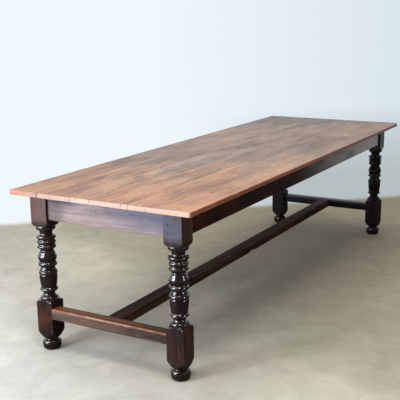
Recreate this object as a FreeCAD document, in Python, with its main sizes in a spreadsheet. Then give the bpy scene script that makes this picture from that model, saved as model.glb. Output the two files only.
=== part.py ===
import FreeCAD, Part

import os

import Sketcher
from FreeCAD import Placement, Rotation, Vector

# A long farmhouse table: a plank top on a pegged base of four turned legs, four aprons and
# an H of low rails. +X runs along the table, +Z is up, and the origin lies on the floor
# under the middle of the top. Left is -X, front is -Y.

PARTS_FOLDER = "parts"

# Driving sizes in millimetres: name, value, what it measures
SIZES = (
    ("table_height", "760", "floor to the upper face of the top"),
    ("top_length", "2760", "length of every plank"),
    ("top_width", "926", "front edge to back edge"),
    ("top_thickness", "22", "thickness of the planks"),
    ("board_gap", "0.3", "shrinkage gap between two planks"),
    ("board_arris", "1.5", "bevel worn along a plank's upper long edges"),
    ("tongue_thickness", "6", "loose tongue in an edge joint"),
    ("tongue_width", "16", "loose tongue, across the joint"),
    ("tongue_stop", "60", "tongue end to plank end"),
    ("end_overhang", "52", "end of the top to the legs' outer face"),
    ("side_overhang", "70", "edge of the top to the legs' outer face"),
    ("leg_width", "89", "side of the square post"),
    ("lower_block_width", "86", "side of the lower block, planed down from the post"),
    ("upper_block_height", "128", "square upper block of a leg"),
    ("lower_block_height", "138", "square lower block of a leg"),
    ("foot_height", "92", "bun foot with its neck and the cone above"),
    ("turned_diameter", "86", "widest turned rings of the baluster"),
    ("foot_diameter", "84", "widest part of the bun foot"),
    ("apron_height", "114", "aprons, top to bottom"),
    ("apron_thickness", "28", "aprons, face to face"),
    ("end_apron_setback", "10", "end apron behind the legs' outer face"),
    ("side_apron_setback", "15", "long apron behind the legs' outer face"),
    ("tenon_thickness", "10", "apron tenons"),
    ("tenon_shoulder", "8", "apron and rail height above and below a tenon"),
    ("tenon_wall", "45", "leg wood left past the end of a tenon"),
    ("joint_clearance", "0.25", "play beside and over a tenon or tongue"),
    ("mortise_slack", "2", "mortise depth past the tenon's end"),
    ("peg_stagger", "12", "long apron pegs above the end apron pegs"),
    ("peg_diameter", "9", "oak pegs"),
    ("peg_clearance", "0.2", "play round a peg"),
    ("peg_tail", "14", "peg length past the tenon"),
    ("peg_proud", "1.2", "peg head outside the wood"),
    ("stretcher_top", "208", "floor to the upper face of the low rails"),
    ("stretcher_height", "48", "low rails, top to bottom"),
    ("stretcher_depth", "58", "end rails, face to face"),
    ("stretcher_setback", "0.5", "end rail behind the lower blocks' outer face"),
    ("stretcher_tenon_thickness", "20", "end rail tenons"),
    ("long_stretcher_width", "64", "middle rail, side to side"),
    ("long_tenon_length", "36", "middle rail tenons"),
    ("long_tenon_shoulder", "12", "middle rail beside, over and under its tenons"),
    ("chip_length", "66", "old chip in the middle rail's lower front edge"),
    ("chip_height", "8", "chip, up from the lower face"),
    ("chip_depth", "14", "chip, in from the front face"),
    ("chip_place", "52", "middle of the table to the middle of the chip"),
    ("bearer_width", "60", "cross bearers, side to side"),
    ("bearer_height", "46", "cross bearers, top to bottom"),
    ("bearer_tenon_length", "14", "bearer tenons in the long aprons"),
    ("bearer_shoulder", "10", "bearer beside, over and under its tenons"),
    ("button_length", "42", "wooden button, out from the apron"),
    ("button_width", "34", "wooden button, along the apron"),
    ("button_bevel", "6", "bevel on the button's inner lower edge"),
    ("button_setback", "0.5", "button block off the apron face"),
    ("groove_drop", "12", "apron top down to the button groove"),
    ("groove_height", "9", "button groove, top to bottom"),
    ("groove_depth", "10", "button groove, into the apron"),
    ("screw_head_diameter", "9", "slotted wood screws"),
    ("screw_head_height", "3.4", "domed screw head"),
    ("screw_shank_diameter", "4.8", "screw body"),
    ("screw_tip_length", "7", "tapered end of a screw"),
    ("screw_slot_width", "1.2", "slot in a screw head"),
    ("screw_slot_depth", "1.5", "slot in a screw head"),
    ("screw_clearance", "0.2", "play round a screw"),
    ("screw_cover", "7", "plank wood left over a screw's point"),
    ("counterbore_diameter", "14", "sunk seat of a bearer screw"),
    ("counterbore_depth", "16", "sunk seat of a bearer screw"),
    ("overrun", "5", "how far a cut runs past the wood"),
)

# Shares of the widths and heights that the pieces follow, and the sizes worked out. The
# outer planks' screws stand in the middle of what the bearer carries of the plank
DERIVED = (
    ("board_1_share", "0.165"),
    ("board_2_share", "0.195"),
    ("board_3_share", "0.175"),
    ("board_4_share", "0.150"),
    ("board_5_share", "=1 - board_1_share - board_2_share - board_3_share - board_4_share"),
    ("planked_width", "=top_width - 4 * board_gap"),
    ("board_1_width", "=planked_width * board_1_share"),
    ("board_2_width", "=planked_width * board_2_share"),
    ("board_3_width", "=planked_width * board_3_share"),
    ("board_4_width", "=planked_width * board_4_share"),
    ("board_5_width", "=planked_width * board_5_share"),
    ("board_1_place", "=top_width / 2 - board_1_width / 2"),
    ("board_2_place", "=board_1_place - (board_1_width + board_2_width) / 2 - board_gap"),
    ("board_3_place", "=board_2_place - (board_2_width + board_3_width) / 2 - board_gap"),
    ("board_4_place", "=board_3_place - (board_3_width + board_4_width) / 2 - board_gap"),
    ("board_5_place", "=board_4_place - (board_4_width + board_5_width) / 2 - board_gap"),
    ("leg_height", "=table_height - top_thickness"),
    ("leg_half", "=leg_width / 2"),
    ("leg_corner", "=leg_width / sqrt(2)"),
    ("lower_block_half", "=lower_block_width / 2"),
    ("leg_place_x", "=top_length / 2 - end_overhang - leg_half"),
    ("leg_place_y", "=top_width / 2 - side_overhang - leg_half"),
    ("turned_radius", "=turned_diameter / 2"),
    ("foot_radius", "=foot_diameter / 2"),
    ("baluster_base", "=foot_height + lower_block_height"),
    ("baluster_height", "=leg_height - upper_block_height - baluster_base"),
    ("clear_length", "=2 * (leg_place_x - leg_half)"),
    ("clear_width", "=2 * (leg_place_y - leg_half)"),
    ("tenon_length", "=leg_width - tenon_wall"),
    ("apron_middle", "=leg_height - apron_height / 2"),
    ("apron_tenon_height", "=apron_height - 2 * tenon_shoulder"),
    ("end_apron_line", "=leg_half - end_apron_setback - apron_thickness / 2"),
    ("side_apron_line", "=leg_half - side_apron_setback - apron_thickness / 2"),
    ("end_peg_reach", "=leg_half - end_apron_line + tenon_thickness / 2 + peg_tail"),
    ("side_peg_reach", "=leg_half - side_apron_line + tenon_thickness / 2 + peg_tail"),
    ("upper_peg_share", "0.52"),
    ("lower_peg_share", "0.13"),
    ("apron_tenon_base", "=apron_middle - apron_tenon_height / 2"),
    ("upper_peg_place", "=apron_tenon_base + apron_tenon_height * upper_peg_share"),
    ("lower_peg_place", "=apron_tenon_base + apron_tenon_height * lower_peg_share"),
    ("stretcher_middle", "=stretcher_top - stretcher_height / 2"),
    ("stretcher_tenon_height", "=stretcher_height - 2 * tenon_shoulder"),
    ("stretcher_line", "=lower_block_half - stretcher_setback - stretcher_depth / 2"),
    ("stretcher_clear", "=2 * (leg_place_y - lower_block_half)"),
    ("stretcher_tenon_length", "=lower_block_width - tenon_wall"),
    ("stretcher_peg_reach",
     "=lower_block_half - stretcher_line + stretcher_tenon_thickness / 2 + peg_tail"),
    ("long_stretcher_clear", "=2 * (leg_place_x + stretcher_line) - stretcher_depth"),
    ("long_tenon_width", "=long_stretcher_width - 2 * long_tenon_shoulder"),
    ("long_tenon_height", "=stretcher_height - 2 * long_tenon_shoulder"),
    ("long_peg_reach", "=stretcher_height - long_tenon_shoulder / 2"),
    ("bearer_clear", "=2 * (leg_place_y + side_apron_line) - apron_thickness"),
    ("bearer_tenon_width", "=bearer_width - 2 * bearer_shoulder"),
    ("bearer_tenon_height", "=bearer_height - 2 * bearer_shoulder"),
    ("screw_1_place", "=(top_width / 2 - board_1_width + bearer_clear / 2) / 2"),
    ("screw_2_place", "=board_2_place"),
    ("screw_3_place", "=board_3_place"),
    ("screw_4_place", "=board_4_place"),
    ("screw_5_place", "=(board_5_width - top_width / 2 - bearer_clear / 2) / 2"),
    ("button_height", "=groove_drop + groove_height - joint_clearance"),
    ("button_tongue", "=groove_depth - button_setback"),
    ("button_side_face", "=bearer_clear / 2"),
    ("button_end_face", "=leg_place_x + end_apron_line - apron_thickness / 2"),
    ("peg_radius", "=peg_diameter / 2"),
    ("peg_hole_radius", "=peg_radius + peg_clearance"),
    ("screw_radius", "=screw_shank_diameter / 2"),
    ("screw_hole_radius", "=screw_radius + screw_clearance"),
    ("screw_bite", "=top_thickness - screw_cover"),
)

# Turned outlines, from the bottom up: share of the height, share of the radius, and the
# bulge of the stretch that follows, as a share of its chord (positive is hollow)
BALUSTER_SHARES = (
    (0.033, 1.023, 0), (0.044, 1.023, 0), (0.047, 0.943, 0), (0.055, 0.943, -0.14),
    (0.077, 0.795, 0.12), (0.103, 0.600, 0), (0.112, 0.600, 0.10), (0.138, 0.830, -0.28),
    (0.176, 0.890, 0), (0.184, 0.820, 0), (0.198, 0.815, -0.03), (0.340, 0.943, 0),
    (0.346, 0.920, 0), (0.352, 0.960, -0.16), (0.390, 0.940, -0.10), (0.402, 0.830, 0),
    (0.423, 0.790, 0.08), (0.436, 0.735, 0), (0.449, 0.750, 0), (0.457, 0.955, -0.12),
    (0.490, 0.955, 0), (0.500, 0.870, 0.08), (0.518, 0.880, -0.15), (0.600, 0.885, -0.06),
    (0.638, 0.725, 0.12), (0.653, 0.715, 0.20), (0.675, 0.955, -0.10), (0.703, 0.960, 0),
    (0.711, 0.900, 0.15), (0.732, 0.900, -0.30), (0.770, 0.900, 0.15), (0.789, 0.900, 0),
    (0.795, 1.005, -0.10), (0.825, 1.005, 0), (0.832, 0.790, 0.15), (0.854, 0.672, 0),
    (0.868, 0.680, 0.08), (0.897, 0.800, 0), (0.903, 0.985, -0.10), (0.945, 1.015, 0),
)
LOWER_SHOULDER_BULGE_SHARE = -0.05
UPPER_SHOULDER_BULGE_SHARE = -0.20
DOME_BULGE_SHARE = -0.10
FOOT_SHARES = (
    (0, 0.715, -0.20), (0.207, 0.988, -0.08), (0.391, 0.976, -0.17), (0.505, 0.726, 0),
    (0.522, 0.690, 0.06), (0.614, 0.690, 0), (0.641, 0.762, 0), (0.674, 1.000, 0),
)

# Where pieces stand along the clear length, as shares of it
BEARER_SHARES = (-0.25, 0, 0.25)
BEARER_NAMES = ("bearer_left", "bearer_middle", "bearer_right")
BUTTON_SHARES = (-0.375, -0.125, 0.125, 0.375)

# Planks that a button on an end apron holds
END_BUTTON_BOARDS = (2, 4)
BOARD_NUMBERS = (1, 2, 3, 4, 5)

TURN_QUARTER = 90
TURN_HALF = 180
FULL_TURN = 360
UP = Vector(0, 0, 1)
DOWN = Rotation(Vector(1, 0, 0), TURN_HALF)
FACE_FRONT = Rotation(UP, TURN_HALF)
FACE_BACK = Rotation(UP, 0)
FACE_LEFT = Rotation(UP, TURN_QUARTER)
FACE_RIGHT = Rotation(UP, -TURN_QUARTER)

doc = FreeCAD.newDocument("FarmhouseTable")
sheet = doc.addObject("Spreadsheet::Sheet", "Sizes")


def fill_sheet():
    """Write the driving sizes and the sizes worked out from them into the sheet."""
    rows = [(name, value, note) for name, value, note in SIZES]
    rows += [(name, formula, "") for name, formula in DERIVED]
    for row, (name, value, note) in enumerate(rows, start=1):
        sheet.set(f"A{row}", name)
        sheet.set(f"B{row}", value)
        sheet.set(f"C{row}", note)
        sheet.setAlias(f"B{row}", name)
    doc.recompute()


def number(expression):
    """Return an expression's present value."""
    return float(sheet.evalExpression(str(expression)))


def bind(target, prop, expression):
    """Set a property to an expression of the sheet's names."""
    target.setExpression(prop, str(expression))


def place(target, x="0", y="0", z="0", rotation=Rotation(), prop="Placement"):
    """Turn an object and bind its place to the sheet."""
    setattr(target, prop, Placement(Vector(number(x), number(y), number(z)), rotation))
    for axis, expression in zip("xyz", (x, y, z)):
        bind(target, f"{prop}.Base.{axis}", expression)


def new_body(label):
    """Add an empty body with its own label."""
    body = doc.addObject("PartDesign::Body", label)
    body.Label = label
    return body


def new_sketch(body, role, offset="0"):
    """Attach a sketch to one of the body's own planes, moved along its normal."""
    sketch = body.newObject("Sketcher::SketchObject", f"{body.Label}_sketch")
    plane = next(item for item in body.Origin.OriginFeatures if item.Role == role)
    sketch.AttachmentSupport = [(plane, "")]
    sketch.MapMode = "FlatFace"
    bind(sketch, "AttachmentOffset.Base.z", offset)
    return sketch


def fix_point(sketch, edge, point, across, up):
    """Hold a point of an edge at two bound distances from the sketch's origin."""
    across_row = sketch.addConstraint(
        Sketcher.Constraint("DistanceX", -1, 1, edge, point, number(across)))
    up_row = sketch.addConstraint(
        Sketcher.Constraint("DistanceY", -1, 1, edge, point, number(up)))
    bind(sketch, f"Constraints[{across_row}]", across)
    bind(sketch, f"Constraints[{up_row}]", up)


def draw_outline(sketch, points):
    """Draw a closed outline of lines and arcs.

    Each point is (across, up, bulge share): the bulge belongs to the stretch that follows
    and says how far it bows to the left of its chord, as a share of the chord.
    """
    spots = [Vector(number(across), number(up), 0) for across, up, bulge in points]
    for index, (across, up, bulge) in enumerate(points):
        start = spots[index]
        end = spots[(index + 1) % len(spots)]
        if bulge == 0:
            sketch.addGeometry(Part.LineSegment(start, end), False)
            continue
        chord = end - start
        middle = (start + end) / 2 + Vector(-chord.y, chord.x, 0) * bulge
        sketch.addGeometry(Part.Arc(start, middle, end), False)
    for edge, (across, up, bulge) in enumerate(points):
        following = (edge + 1) % len(points)
        next_across, next_up, next_bulge = points[following]
        # An arc that bows to the right of its chord is stored the other way round
        first = 2 if bulge > 0 else 1
        last = 3 - first
        next_first = 2 if next_bulge > 0 else 1
        fix_point(sketch, edge, first, across, up)
        sketch.addConstraint(Sketcher.Constraint("Coincident", edge, last, following, next_first))
        if bulge != 0:
            factor = (1 + 4 * bulge ** 2) / (8 * abs(bulge))
            run = f"(({next_across}) - ({across}))"
            rise = f"(({next_up}) - ({up}))"
            radius = f"sqrt({run} * {run} + {rise} * {rise}) * {factor}"
            row = sketch.addConstraint(Sketcher.Constraint("Radius", edge, number(radius)))
            bind(sketch, f"Constraints[{row}]", radius)


def draw_box(sketch, left, bottom, right, top):
    """Draw a rectangle between bound edges."""
    first = sketch.GeometryCount
    corners = ((left, bottom), (right, bottom), (right, top), (left, top))
    spots = [Vector(number(across), number(up), 0) for across, up in corners]
    for index, start in enumerate(spots):
        sketch.addGeometry(Part.LineSegment(start, spots[(index + 1) % len(spots)]), False)
    for index, (across, up) in enumerate(corners):
        edge = first + index
        following = first + (index + 1) % len(corners)
        sketch.addConstraint(Sketcher.Constraint("Coincident", edge, 2, following, 1))
        fix_point(sketch, edge, 1, across, up)


def draw_circle(sketch, across, up, radius):
    """Draw a circle at a bound place."""
    centre = Vector(number(across), number(up), 0)
    edge = sketch.addGeometry(Part.Circle(centre, UP, number(radius)), False)
    fix_point(sketch, edge, 3, across, up)
    row = sketch.addConstraint(Sketcher.Constraint("Radius", edge, number(radius)))
    bind(sketch, f"Constraints[{row}]", radius)


def extrude(body, kind, sketch, length, side="One side", flip=False):
    """Pad or pocket a sketch of the body."""
    feature = body.newObject(f"PartDesign::{kind}", f"{body.Label}_{kind}")
    feature.Profile = sketch
    feature.SideType = side
    feature.Reversed = flip
    bind(feature, "Length", length)
    sketch.Visibility = False
    return feature


def turn(body, kind, sketch):
    """Revolve or groove a sketch round its upright axis."""
    feature = body.newObject(f"PartDesign::{kind}", f"{body.Label}_{kind}")
    feature.Profile = sketch
    feature.ReferenceAxis = (sketch, ["V_Axis"])
    feature.Angle = FULL_TURN
    sketch.Visibility = False
    return feature


def make_bar(label, length, thickness, height, tenon_length, tenon_thickness, tenon_height):
    """Build a rail along X with a tenon at each end, centred on its own origin."""
    body = new_body(label)
    section = new_sketch(body, "YZ_Plane")
    draw_box(section, f"-{thickness} / 2", f"-{height} / 2", f"{thickness} / 2", f"{height} / 2")
    extrude(body, "Pad", section, length, "Symmetric")
    tenon = new_sketch(body, "YZ_Plane")
    draw_box(tenon, f"-{tenon_thickness} / 2", f"-{tenon_height} / 2",
             f"{tenon_thickness} / 2", f"{tenon_height} / 2")
    extrude(body, "Pad", tenon, f"{length} + 2 * {tenon_length}", "Symmetric")
    return body


def bore_tenons(body, length, thickness, joint):
    """Drill the peg holes across both tenons of a rail, front to back."""
    sketch = new_sketch(body, "XZ_Plane")
    across = f"({length} / 2 + {joint.length} / 2)"
    for height in joint.pegs:
        for side in ("", "-"):
            draw_circle(sketch, f"{side}{across}", f"{height} - {joint.middle}",
                        "Sizes.peg_hole_radius")
    extrude(body, "Pocket", sketch, f"{thickness} + Sizes.overrun", "Symmetric")


class RailJoint:
    """How one rail enters a leg: its line and height, its tenon, its pegs and the block."""

    def __init__(self, line, middle, thickness, height, length, pegs, reach, half):
        self.line = line
        self.middle = middle
        self.thickness = thickness
        self.height = height
        self.length = length
        self.pegs = pegs
        self.reach = reach
        self.half = half


END_APRON_JOINT = RailJoint(
    line="Sizes.end_apron_line", middle="Sizes.apron_middle",
    thickness="Sizes.tenon_thickness", height="Sizes.apron_tenon_height",
    length="Sizes.tenon_length", pegs=("Sizes.upper_peg_place", "Sizes.lower_peg_place"),
    reach="Sizes.end_peg_reach", half="Sizes.leg_half")
SIDE_APRON_JOINT = RailJoint(
    line="Sizes.side_apron_line", middle="Sizes.apron_middle",
    thickness="Sizes.tenon_thickness", height="Sizes.apron_tenon_height",
    length="Sizes.tenon_length",
    pegs=("Sizes.upper_peg_place + Sizes.peg_stagger",
          "Sizes.lower_peg_place + Sizes.peg_stagger"),
    reach="Sizes.side_peg_reach", half="Sizes.leg_half")
STRETCHER_JOINT = RailJoint(
    line="Sizes.stretcher_line", middle="Sizes.stretcher_middle",
    thickness="Sizes.stretcher_tenon_thickness", height="Sizes.stretcher_tenon_height",
    length="Sizes.stretcher_tenon_length", pegs=("Sizes.stretcher_middle",),
    reach="Sizes.stretcher_peg_reach", half="Sizes.lower_block_half")


def baluster_outline():
    """Return the cut that leaves the baluster: its outline, closed outside the post."""
    outside = "Sizes.leg_corner + Sizes.overrun"
    low = "Sizes.baluster_base"
    high = "Sizes.baluster_base + Sizes.baluster_height"
    turned = [(f"Sizes.turned_radius * {radius}", f"{low} + Sizes.baluster_height * {height}",
               bulge) for height, radius, bulge in BALUSTER_SHARES]
    across, up, bulge = turned[-1]
    turned[-1] = (across, up, UPPER_SHOULDER_BULGE_SHARE)
    start = ("Sizes.leg_corner", low, LOWER_SHOULDER_BULGE_SHARE)
    return [(outside, low, 0), start, *turned, ("Sizes.leg_corner", high, 0), (outside, high, 0)]


def foot_outline():
    """Return the cut that leaves the bun foot, closed outside the post."""
    outside = "Sizes.leg_corner + Sizes.overrun"
    turned = [(f"Sizes.foot_radius * {radius}", f"Sizes.foot_height * {height}", bulge)
              for height, radius, bulge in FOOT_SHARES]
    return [(outside, "0", 0), *turned, ("Sizes.leg_corner", "Sizes.foot_height", 0),
            (outside, "Sizes.foot_height", 0)]


def cut_joint(body, joint, runs_along_y):
    """Cut one rail's mortise and peg holes into a leg.

    The rail enters the leg's +Y face when it runs along Y, and the +X face otherwise. Its
    line lies outside the leg's axis, and its pegs come in from the outer face.
    """
    play = "Sizes.joint_clearance"
    line = f"-{joint.line}"
    half = f"({joint.thickness} / 2 + {play})"
    reach = f"({joint.height} / 2 + {play})"
    depth = f"{joint.length} + Sizes.mortise_slack"
    peg_place = f"{joint.half} - {joint.length} / 2"
    entry = ("YZ_Plane", joint.half, False)
    outer = ("XZ_Plane", joint.half, False)
    if runs_along_y:
        entry = ("XZ_Plane", f"-{joint.half}", True)
        outer = ("YZ_Plane", f"-{joint.half}", True)
    role, offset, flip = entry
    mortise = new_sketch(body, role, offset)
    draw_box(mortise, f"{line} - {half}", f"{joint.middle} - {reach}",
             f"{line} + {half}", f"{joint.middle} + {reach}")
    extrude(body, "Pocket", mortise, depth, flip=flip)
    role, offset, flip = outer
    holes = new_sketch(body, role, offset)
    for height in joint.pegs:
        draw_circle(holes, peg_place, height, "Sizes.peg_hole_radius")
    extrude(body, "Pocket", holes, joint.reach, flip=flip)


def make_leg(label, side_x, side_y, rotation, end_rails_along_y):
    """Build one leg: a square post, turned, with its mortises and peg holes."""
    body = new_body(label)
    change = f"Sizes.baluster_base + Sizes.baluster_height * {BALUSTER_SHARES[0][0]}"
    for bottom, half, length in (
            ("0", "Sizes.lower_block_half", change),
            (change, "Sizes.leg_half", f"Sizes.leg_height - ({change})")):
        section = new_sketch(body, "XY_Plane", bottom)
        draw_box(section, f"-{half}", f"-{half}", half, half)
        extrude(body, "Pad", section, length)
    for outline in (baluster_outline(), foot_outline()):
        sketch = new_sketch(body, "XZ_Plane")
        draw_outline(sketch, outline)
        turn(body, "Groove", sketch)
    cut_joint(body, END_APRON_JOINT, end_rails_along_y)
    cut_joint(body, STRETCHER_JOINT, end_rails_along_y)
    cut_joint(body, SIDE_APRON_JOINT, not end_rails_along_y)
    place(body, f"{side_x} * Sizes.leg_place_x", f"{side_y} * Sizes.leg_place_y", "0", rotation)
    return body


def make_legs():
    """Build the four legs, each turned so that its joints face inwards."""
    return [
        make_leg("leg_front_left", -1, -1, FACE_BACK, True),
        make_leg("leg_front_right", 1, -1, FACE_LEFT, False),
        make_leg("leg_back_right", 1, 1, FACE_FRONT, True),
        make_leg("leg_back_left", -1, 1, FACE_RIGHT, False),
    ]


def plough_groove(body, length):
    """Plough the button groove along an apron's inner face."""
    sketch = new_sketch(body, "YZ_Plane")
    inner = "-Sizes.apron_thickness / 2"
    top = "Sizes.apron_height / 2 - Sizes.groove_drop"
    draw_box(sketch, f"{inner} - Sizes.overrun", f"{top} - Sizes.groove_height",
             f"{inner} + Sizes.groove_depth", top)
    extrude(body, "Pocket", sketch, length, "Symmetric")


def make_apron(label, length, joint, x, y, rotation, bearer_shares):
    """Build an apron, outer face towards its own +Y, with the seats of the bearers."""
    body = make_bar(label, length, "Sizes.apron_thickness", "Sizes.apron_height",
                    joint.length, joint.thickness, joint.height)
    bore_tenons(body, length, "Sizes.apron_thickness", joint)
    plough_groove(body, length)
    if bearer_shares:
        seats = new_sketch(body, "XZ_Plane", "Sizes.apron_thickness / 2")
        half = "(Sizes.bearer_tenon_width / 2 + Sizes.joint_clearance)"
        middle = "(Sizes.apron_height / 2 - Sizes.bearer_height / 2)"
        reach = "(Sizes.bearer_tenon_height / 2 + Sizes.joint_clearance)"
        for share in bearer_shares:
            centre = f"{share} * {length}"
            draw_box(seats, f"{centre} - {half}", f"{middle} - {reach}",
                     f"{centre} + {half}", f"{middle} + {reach}")
        extrude(body, "Pocket", seats, "Sizes.bearer_tenon_length + Sizes.mortise_slack")
    place(body, x, y, "Sizes.apron_middle", rotation)
    return body


def make_aprons():
    """Build the two long aprons and the two end aprons."""
    side = "Sizes.leg_place_y + Sizes.side_apron_line"
    end = "Sizes.leg_place_x + Sizes.end_apron_line"
    mirrored_shares = [-share for share in BEARER_SHARES]
    return [
        make_apron("apron_front", "Sizes.clear_length", SIDE_APRON_JOINT, "0", f"-({side})",
                   FACE_FRONT, mirrored_shares),
        make_apron("apron_back", "Sizes.clear_length", SIDE_APRON_JOINT, "0", side,
                   FACE_BACK, BEARER_SHARES),
        make_apron("apron_left_end", "Sizes.clear_width", END_APRON_JOINT, f"-({end})", "0",
                   FACE_LEFT, ()),
        make_apron("apron_right_end", "Sizes.clear_width", END_APRON_JOINT, end, "0",
                   FACE_RIGHT, ()),
    ]


def make_end_stretcher(label, side, rotation):
    """Build a low end rail with the mortise and peg hole of the middle rail."""
    joint = STRETCHER_JOINT
    length = "Sizes.stretcher_clear"
    body = make_bar(label, length, "Sizes.stretcher_depth", "Sizes.stretcher_height",
                    joint.length, joint.thickness, joint.height)
    bore_tenons(body, length, "Sizes.stretcher_depth", joint)
    mortise = new_sketch(body, "XZ_Plane", "Sizes.stretcher_depth / 2")
    half = "(Sizes.long_tenon_width / 2 + Sizes.joint_clearance)"
    reach = "(Sizes.long_tenon_height / 2 + Sizes.joint_clearance)"
    draw_box(mortise, f"-{half}", f"-{reach}", half, reach)
    extrude(body, "Pocket", mortise, "Sizes.long_tenon_length + Sizes.mortise_slack")
    hole = new_sketch(body, "XY_Plane", "Sizes.stretcher_height / 2")
    draw_circle(hole, "0", "Sizes.long_tenon_length / 2 - Sizes.stretcher_depth / 2",
                "Sizes.peg_hole_radius")
    extrude(body, "Pocket", hole, "Sizes.long_peg_reach")
    place(body, f"{side} * (Sizes.leg_place_x + Sizes.stretcher_line)", "0",
          "Sizes.stretcher_middle", rotation)
    return body


def make_long_stretcher():
    """Build the low middle rail, with its peg holes and the old chip in its edge."""
    length = "Sizes.long_stretcher_clear"
    width = "Sizes.long_stretcher_width"
    body = make_bar("stretcher_long", length, width, "Sizes.stretcher_height",
                    "Sizes.long_tenon_length", "Sizes.long_tenon_width",
                    "Sizes.long_tenon_height")
    holes = new_sketch(body, "XY_Plane")
    across = f"({length} / 2 + Sizes.long_tenon_length / 2)"
    for side in ("", "-"):
        draw_circle(holes, f"{side}{across}", "0", "Sizes.peg_hole_radius")
    extrude(body, "Pocket", holes, "Sizes.stretcher_height + Sizes.overrun", "Symmetric")
    chip = new_sketch(body, "XZ_Plane", f"{width} / 2")
    below = "-Sizes.stretcher_height / 2 - Sizes.overrun"
    roof = "-Sizes.stretcher_height / 2 + Sizes.chip_height"
    start = "Sizes.chip_place - Sizes.chip_length / 2"
    end = "Sizes.chip_place + Sizes.chip_length / 2"
    slope = "Sizes.chip_height + Sizes.overrun"
    draw_outline(chip, [(start, below, 0), (end, below, 0), (f"{end} - ({slope})", roof, 0),
                        (f"{start} + ({slope})", roof, 0)])
    extrude(body, "Pocket", chip, "Sizes.chip_depth")
    place(body, "0", "0", "Sizes.stretcher_middle")
    return body


def make_bearer(label, share):
    """Build a cross bearer with a screw hole and a sunk seat under every plank."""
    width = "Sizes.bearer_width"
    body = make_bar(label, "Sizes.bearer_clear", width, "Sizes.bearer_height",
                    "Sizes.bearer_tenon_length", "Sizes.bearer_tenon_width",
                    "Sizes.bearer_tenon_height")
    for radius, depth in (
            ("Sizes.screw_hole_radius", "Sizes.bearer_height"),
            ("Sizes.counterbore_diameter / 2", "Sizes.counterbore_depth")):
        holes = new_sketch(body, "XY_Plane", "-Sizes.bearer_height / 2")
        for board in BOARD_NUMBERS:
            draw_circle(holes, f"Sizes.screw_{board}_place", "0", radius)
        extrude(body, "Pocket", holes, depth, flip=True)
    place(body, f"{share} * Sizes.clear_length", "0",
          "Sizes.leg_height - Sizes.bearer_height / 2", FACE_LEFT)
    return body


def make_board(number_in_top, drills):
    """Build a plank: bevelled upper edges, grooves for the tongues, holes for the screws."""
    width = f"Sizes.board_{number_in_top}_width"
    side = f"{width} / 2"
    arris = "Sizes.board_arris"
    thick = "Sizes.top_thickness"
    body = new_body(f"plank_{number_in_top}")
    section = new_sketch(body, "YZ_Plane")
    draw_outline(section, [
        (f"-{side}", "0", 0), (side, "0", 0), (side, f"{thick} - {arris}", 0),
        (f"{side} - {arris}", thick, 0), (f"-{side} + {arris}", thick, 0),
        (f"-{side}", f"{thick} - {arris}", 0)])
    extrude(body, "Pad", section, "Sizes.top_length", "Symmetric")
    grooves = new_sketch(body, "YZ_Plane")
    half = "(Sizes.tongue_thickness / 2 + Sizes.joint_clearance)"
    low = f"{thick} / 2 - {half}"
    high = f"{thick} / 2 + {half}"
    depth = "(Sizes.tongue_width / 2 + Sizes.joint_clearance)"
    if number_in_top > BOARD_NUMBERS[0]:
        draw_box(grooves, f"{side} - {depth}", low, f"{side} + Sizes.overrun", high)
    if number_in_top < BOARD_NUMBERS[-1]:
        draw_box(grooves, f"-{side} - Sizes.overrun", low, f"-{side} + {depth}", high)
    extrude(body, "Pocket", grooves, "Sizes.top_length - 2 * Sizes.tongue_stop", "Symmetric")
    place(body, "0", f"Sizes.board_{number_in_top}_place", "Sizes.leg_height")
    return drill(f"top_board_{number_in_top}", body, drills)


def make_tongue(number_in_top, drills):
    """Build the loose tongue between a plank and the next one."""
    body = new_body(f"spline_{number_in_top}")
    section = new_sketch(body, "YZ_Plane")
    half_width = "Sizes.tongue_width / 2"
    half_thick = "Sizes.tongue_thickness / 2"
    draw_box(section, f"-{half_width}", f"-{half_thick}", half_width, half_thick)
    length = "Sizes.top_length - 2 * (Sizes.tongue_stop + Sizes.joint_clearance)"
    extrude(body, "Pad", section, length, "Symmetric")
    board = f"Sizes.board_{number_in_top}"
    place(body, "0", f"{board}_place - {board}_width / 2 - Sizes.board_gap / 2",
          "Sizes.leg_height + Sizes.top_thickness / 2")
    return drill(f"top_tongue_{number_in_top}", body, drills)


def drill(label, body, drills):
    """Cut the screw holes out of a piece of the top."""
    result = doc.addObject("Part::Cut", label)
    result.Label = label
    result.Base = body
    result.Tool = drills
    return result


def make_peg(label, reach):
    """Build one peg: a round pin along Z with a domed head just outside the wood."""
    body = new_body(label)
    sketch = new_sketch(body, "XZ_Plane")
    radius = "Sizes.peg_radius"
    shoulder = "-Sizes.peg_proud / 2"
    tip = f"{reach} - Sizes.peg_clearance"
    draw_outline(sketch, [
        ("0", tip, 0), ("0", "-Sizes.peg_proud", 0), (f"{radius} / 2", "-Sizes.peg_proud", 0),
        (radius, shoulder, 0), (radius, f"{tip} - {radius}", 0), (f"{radius} / 2", tip, 0)])
    turn(body, "Revolution", sketch)
    return body


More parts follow.
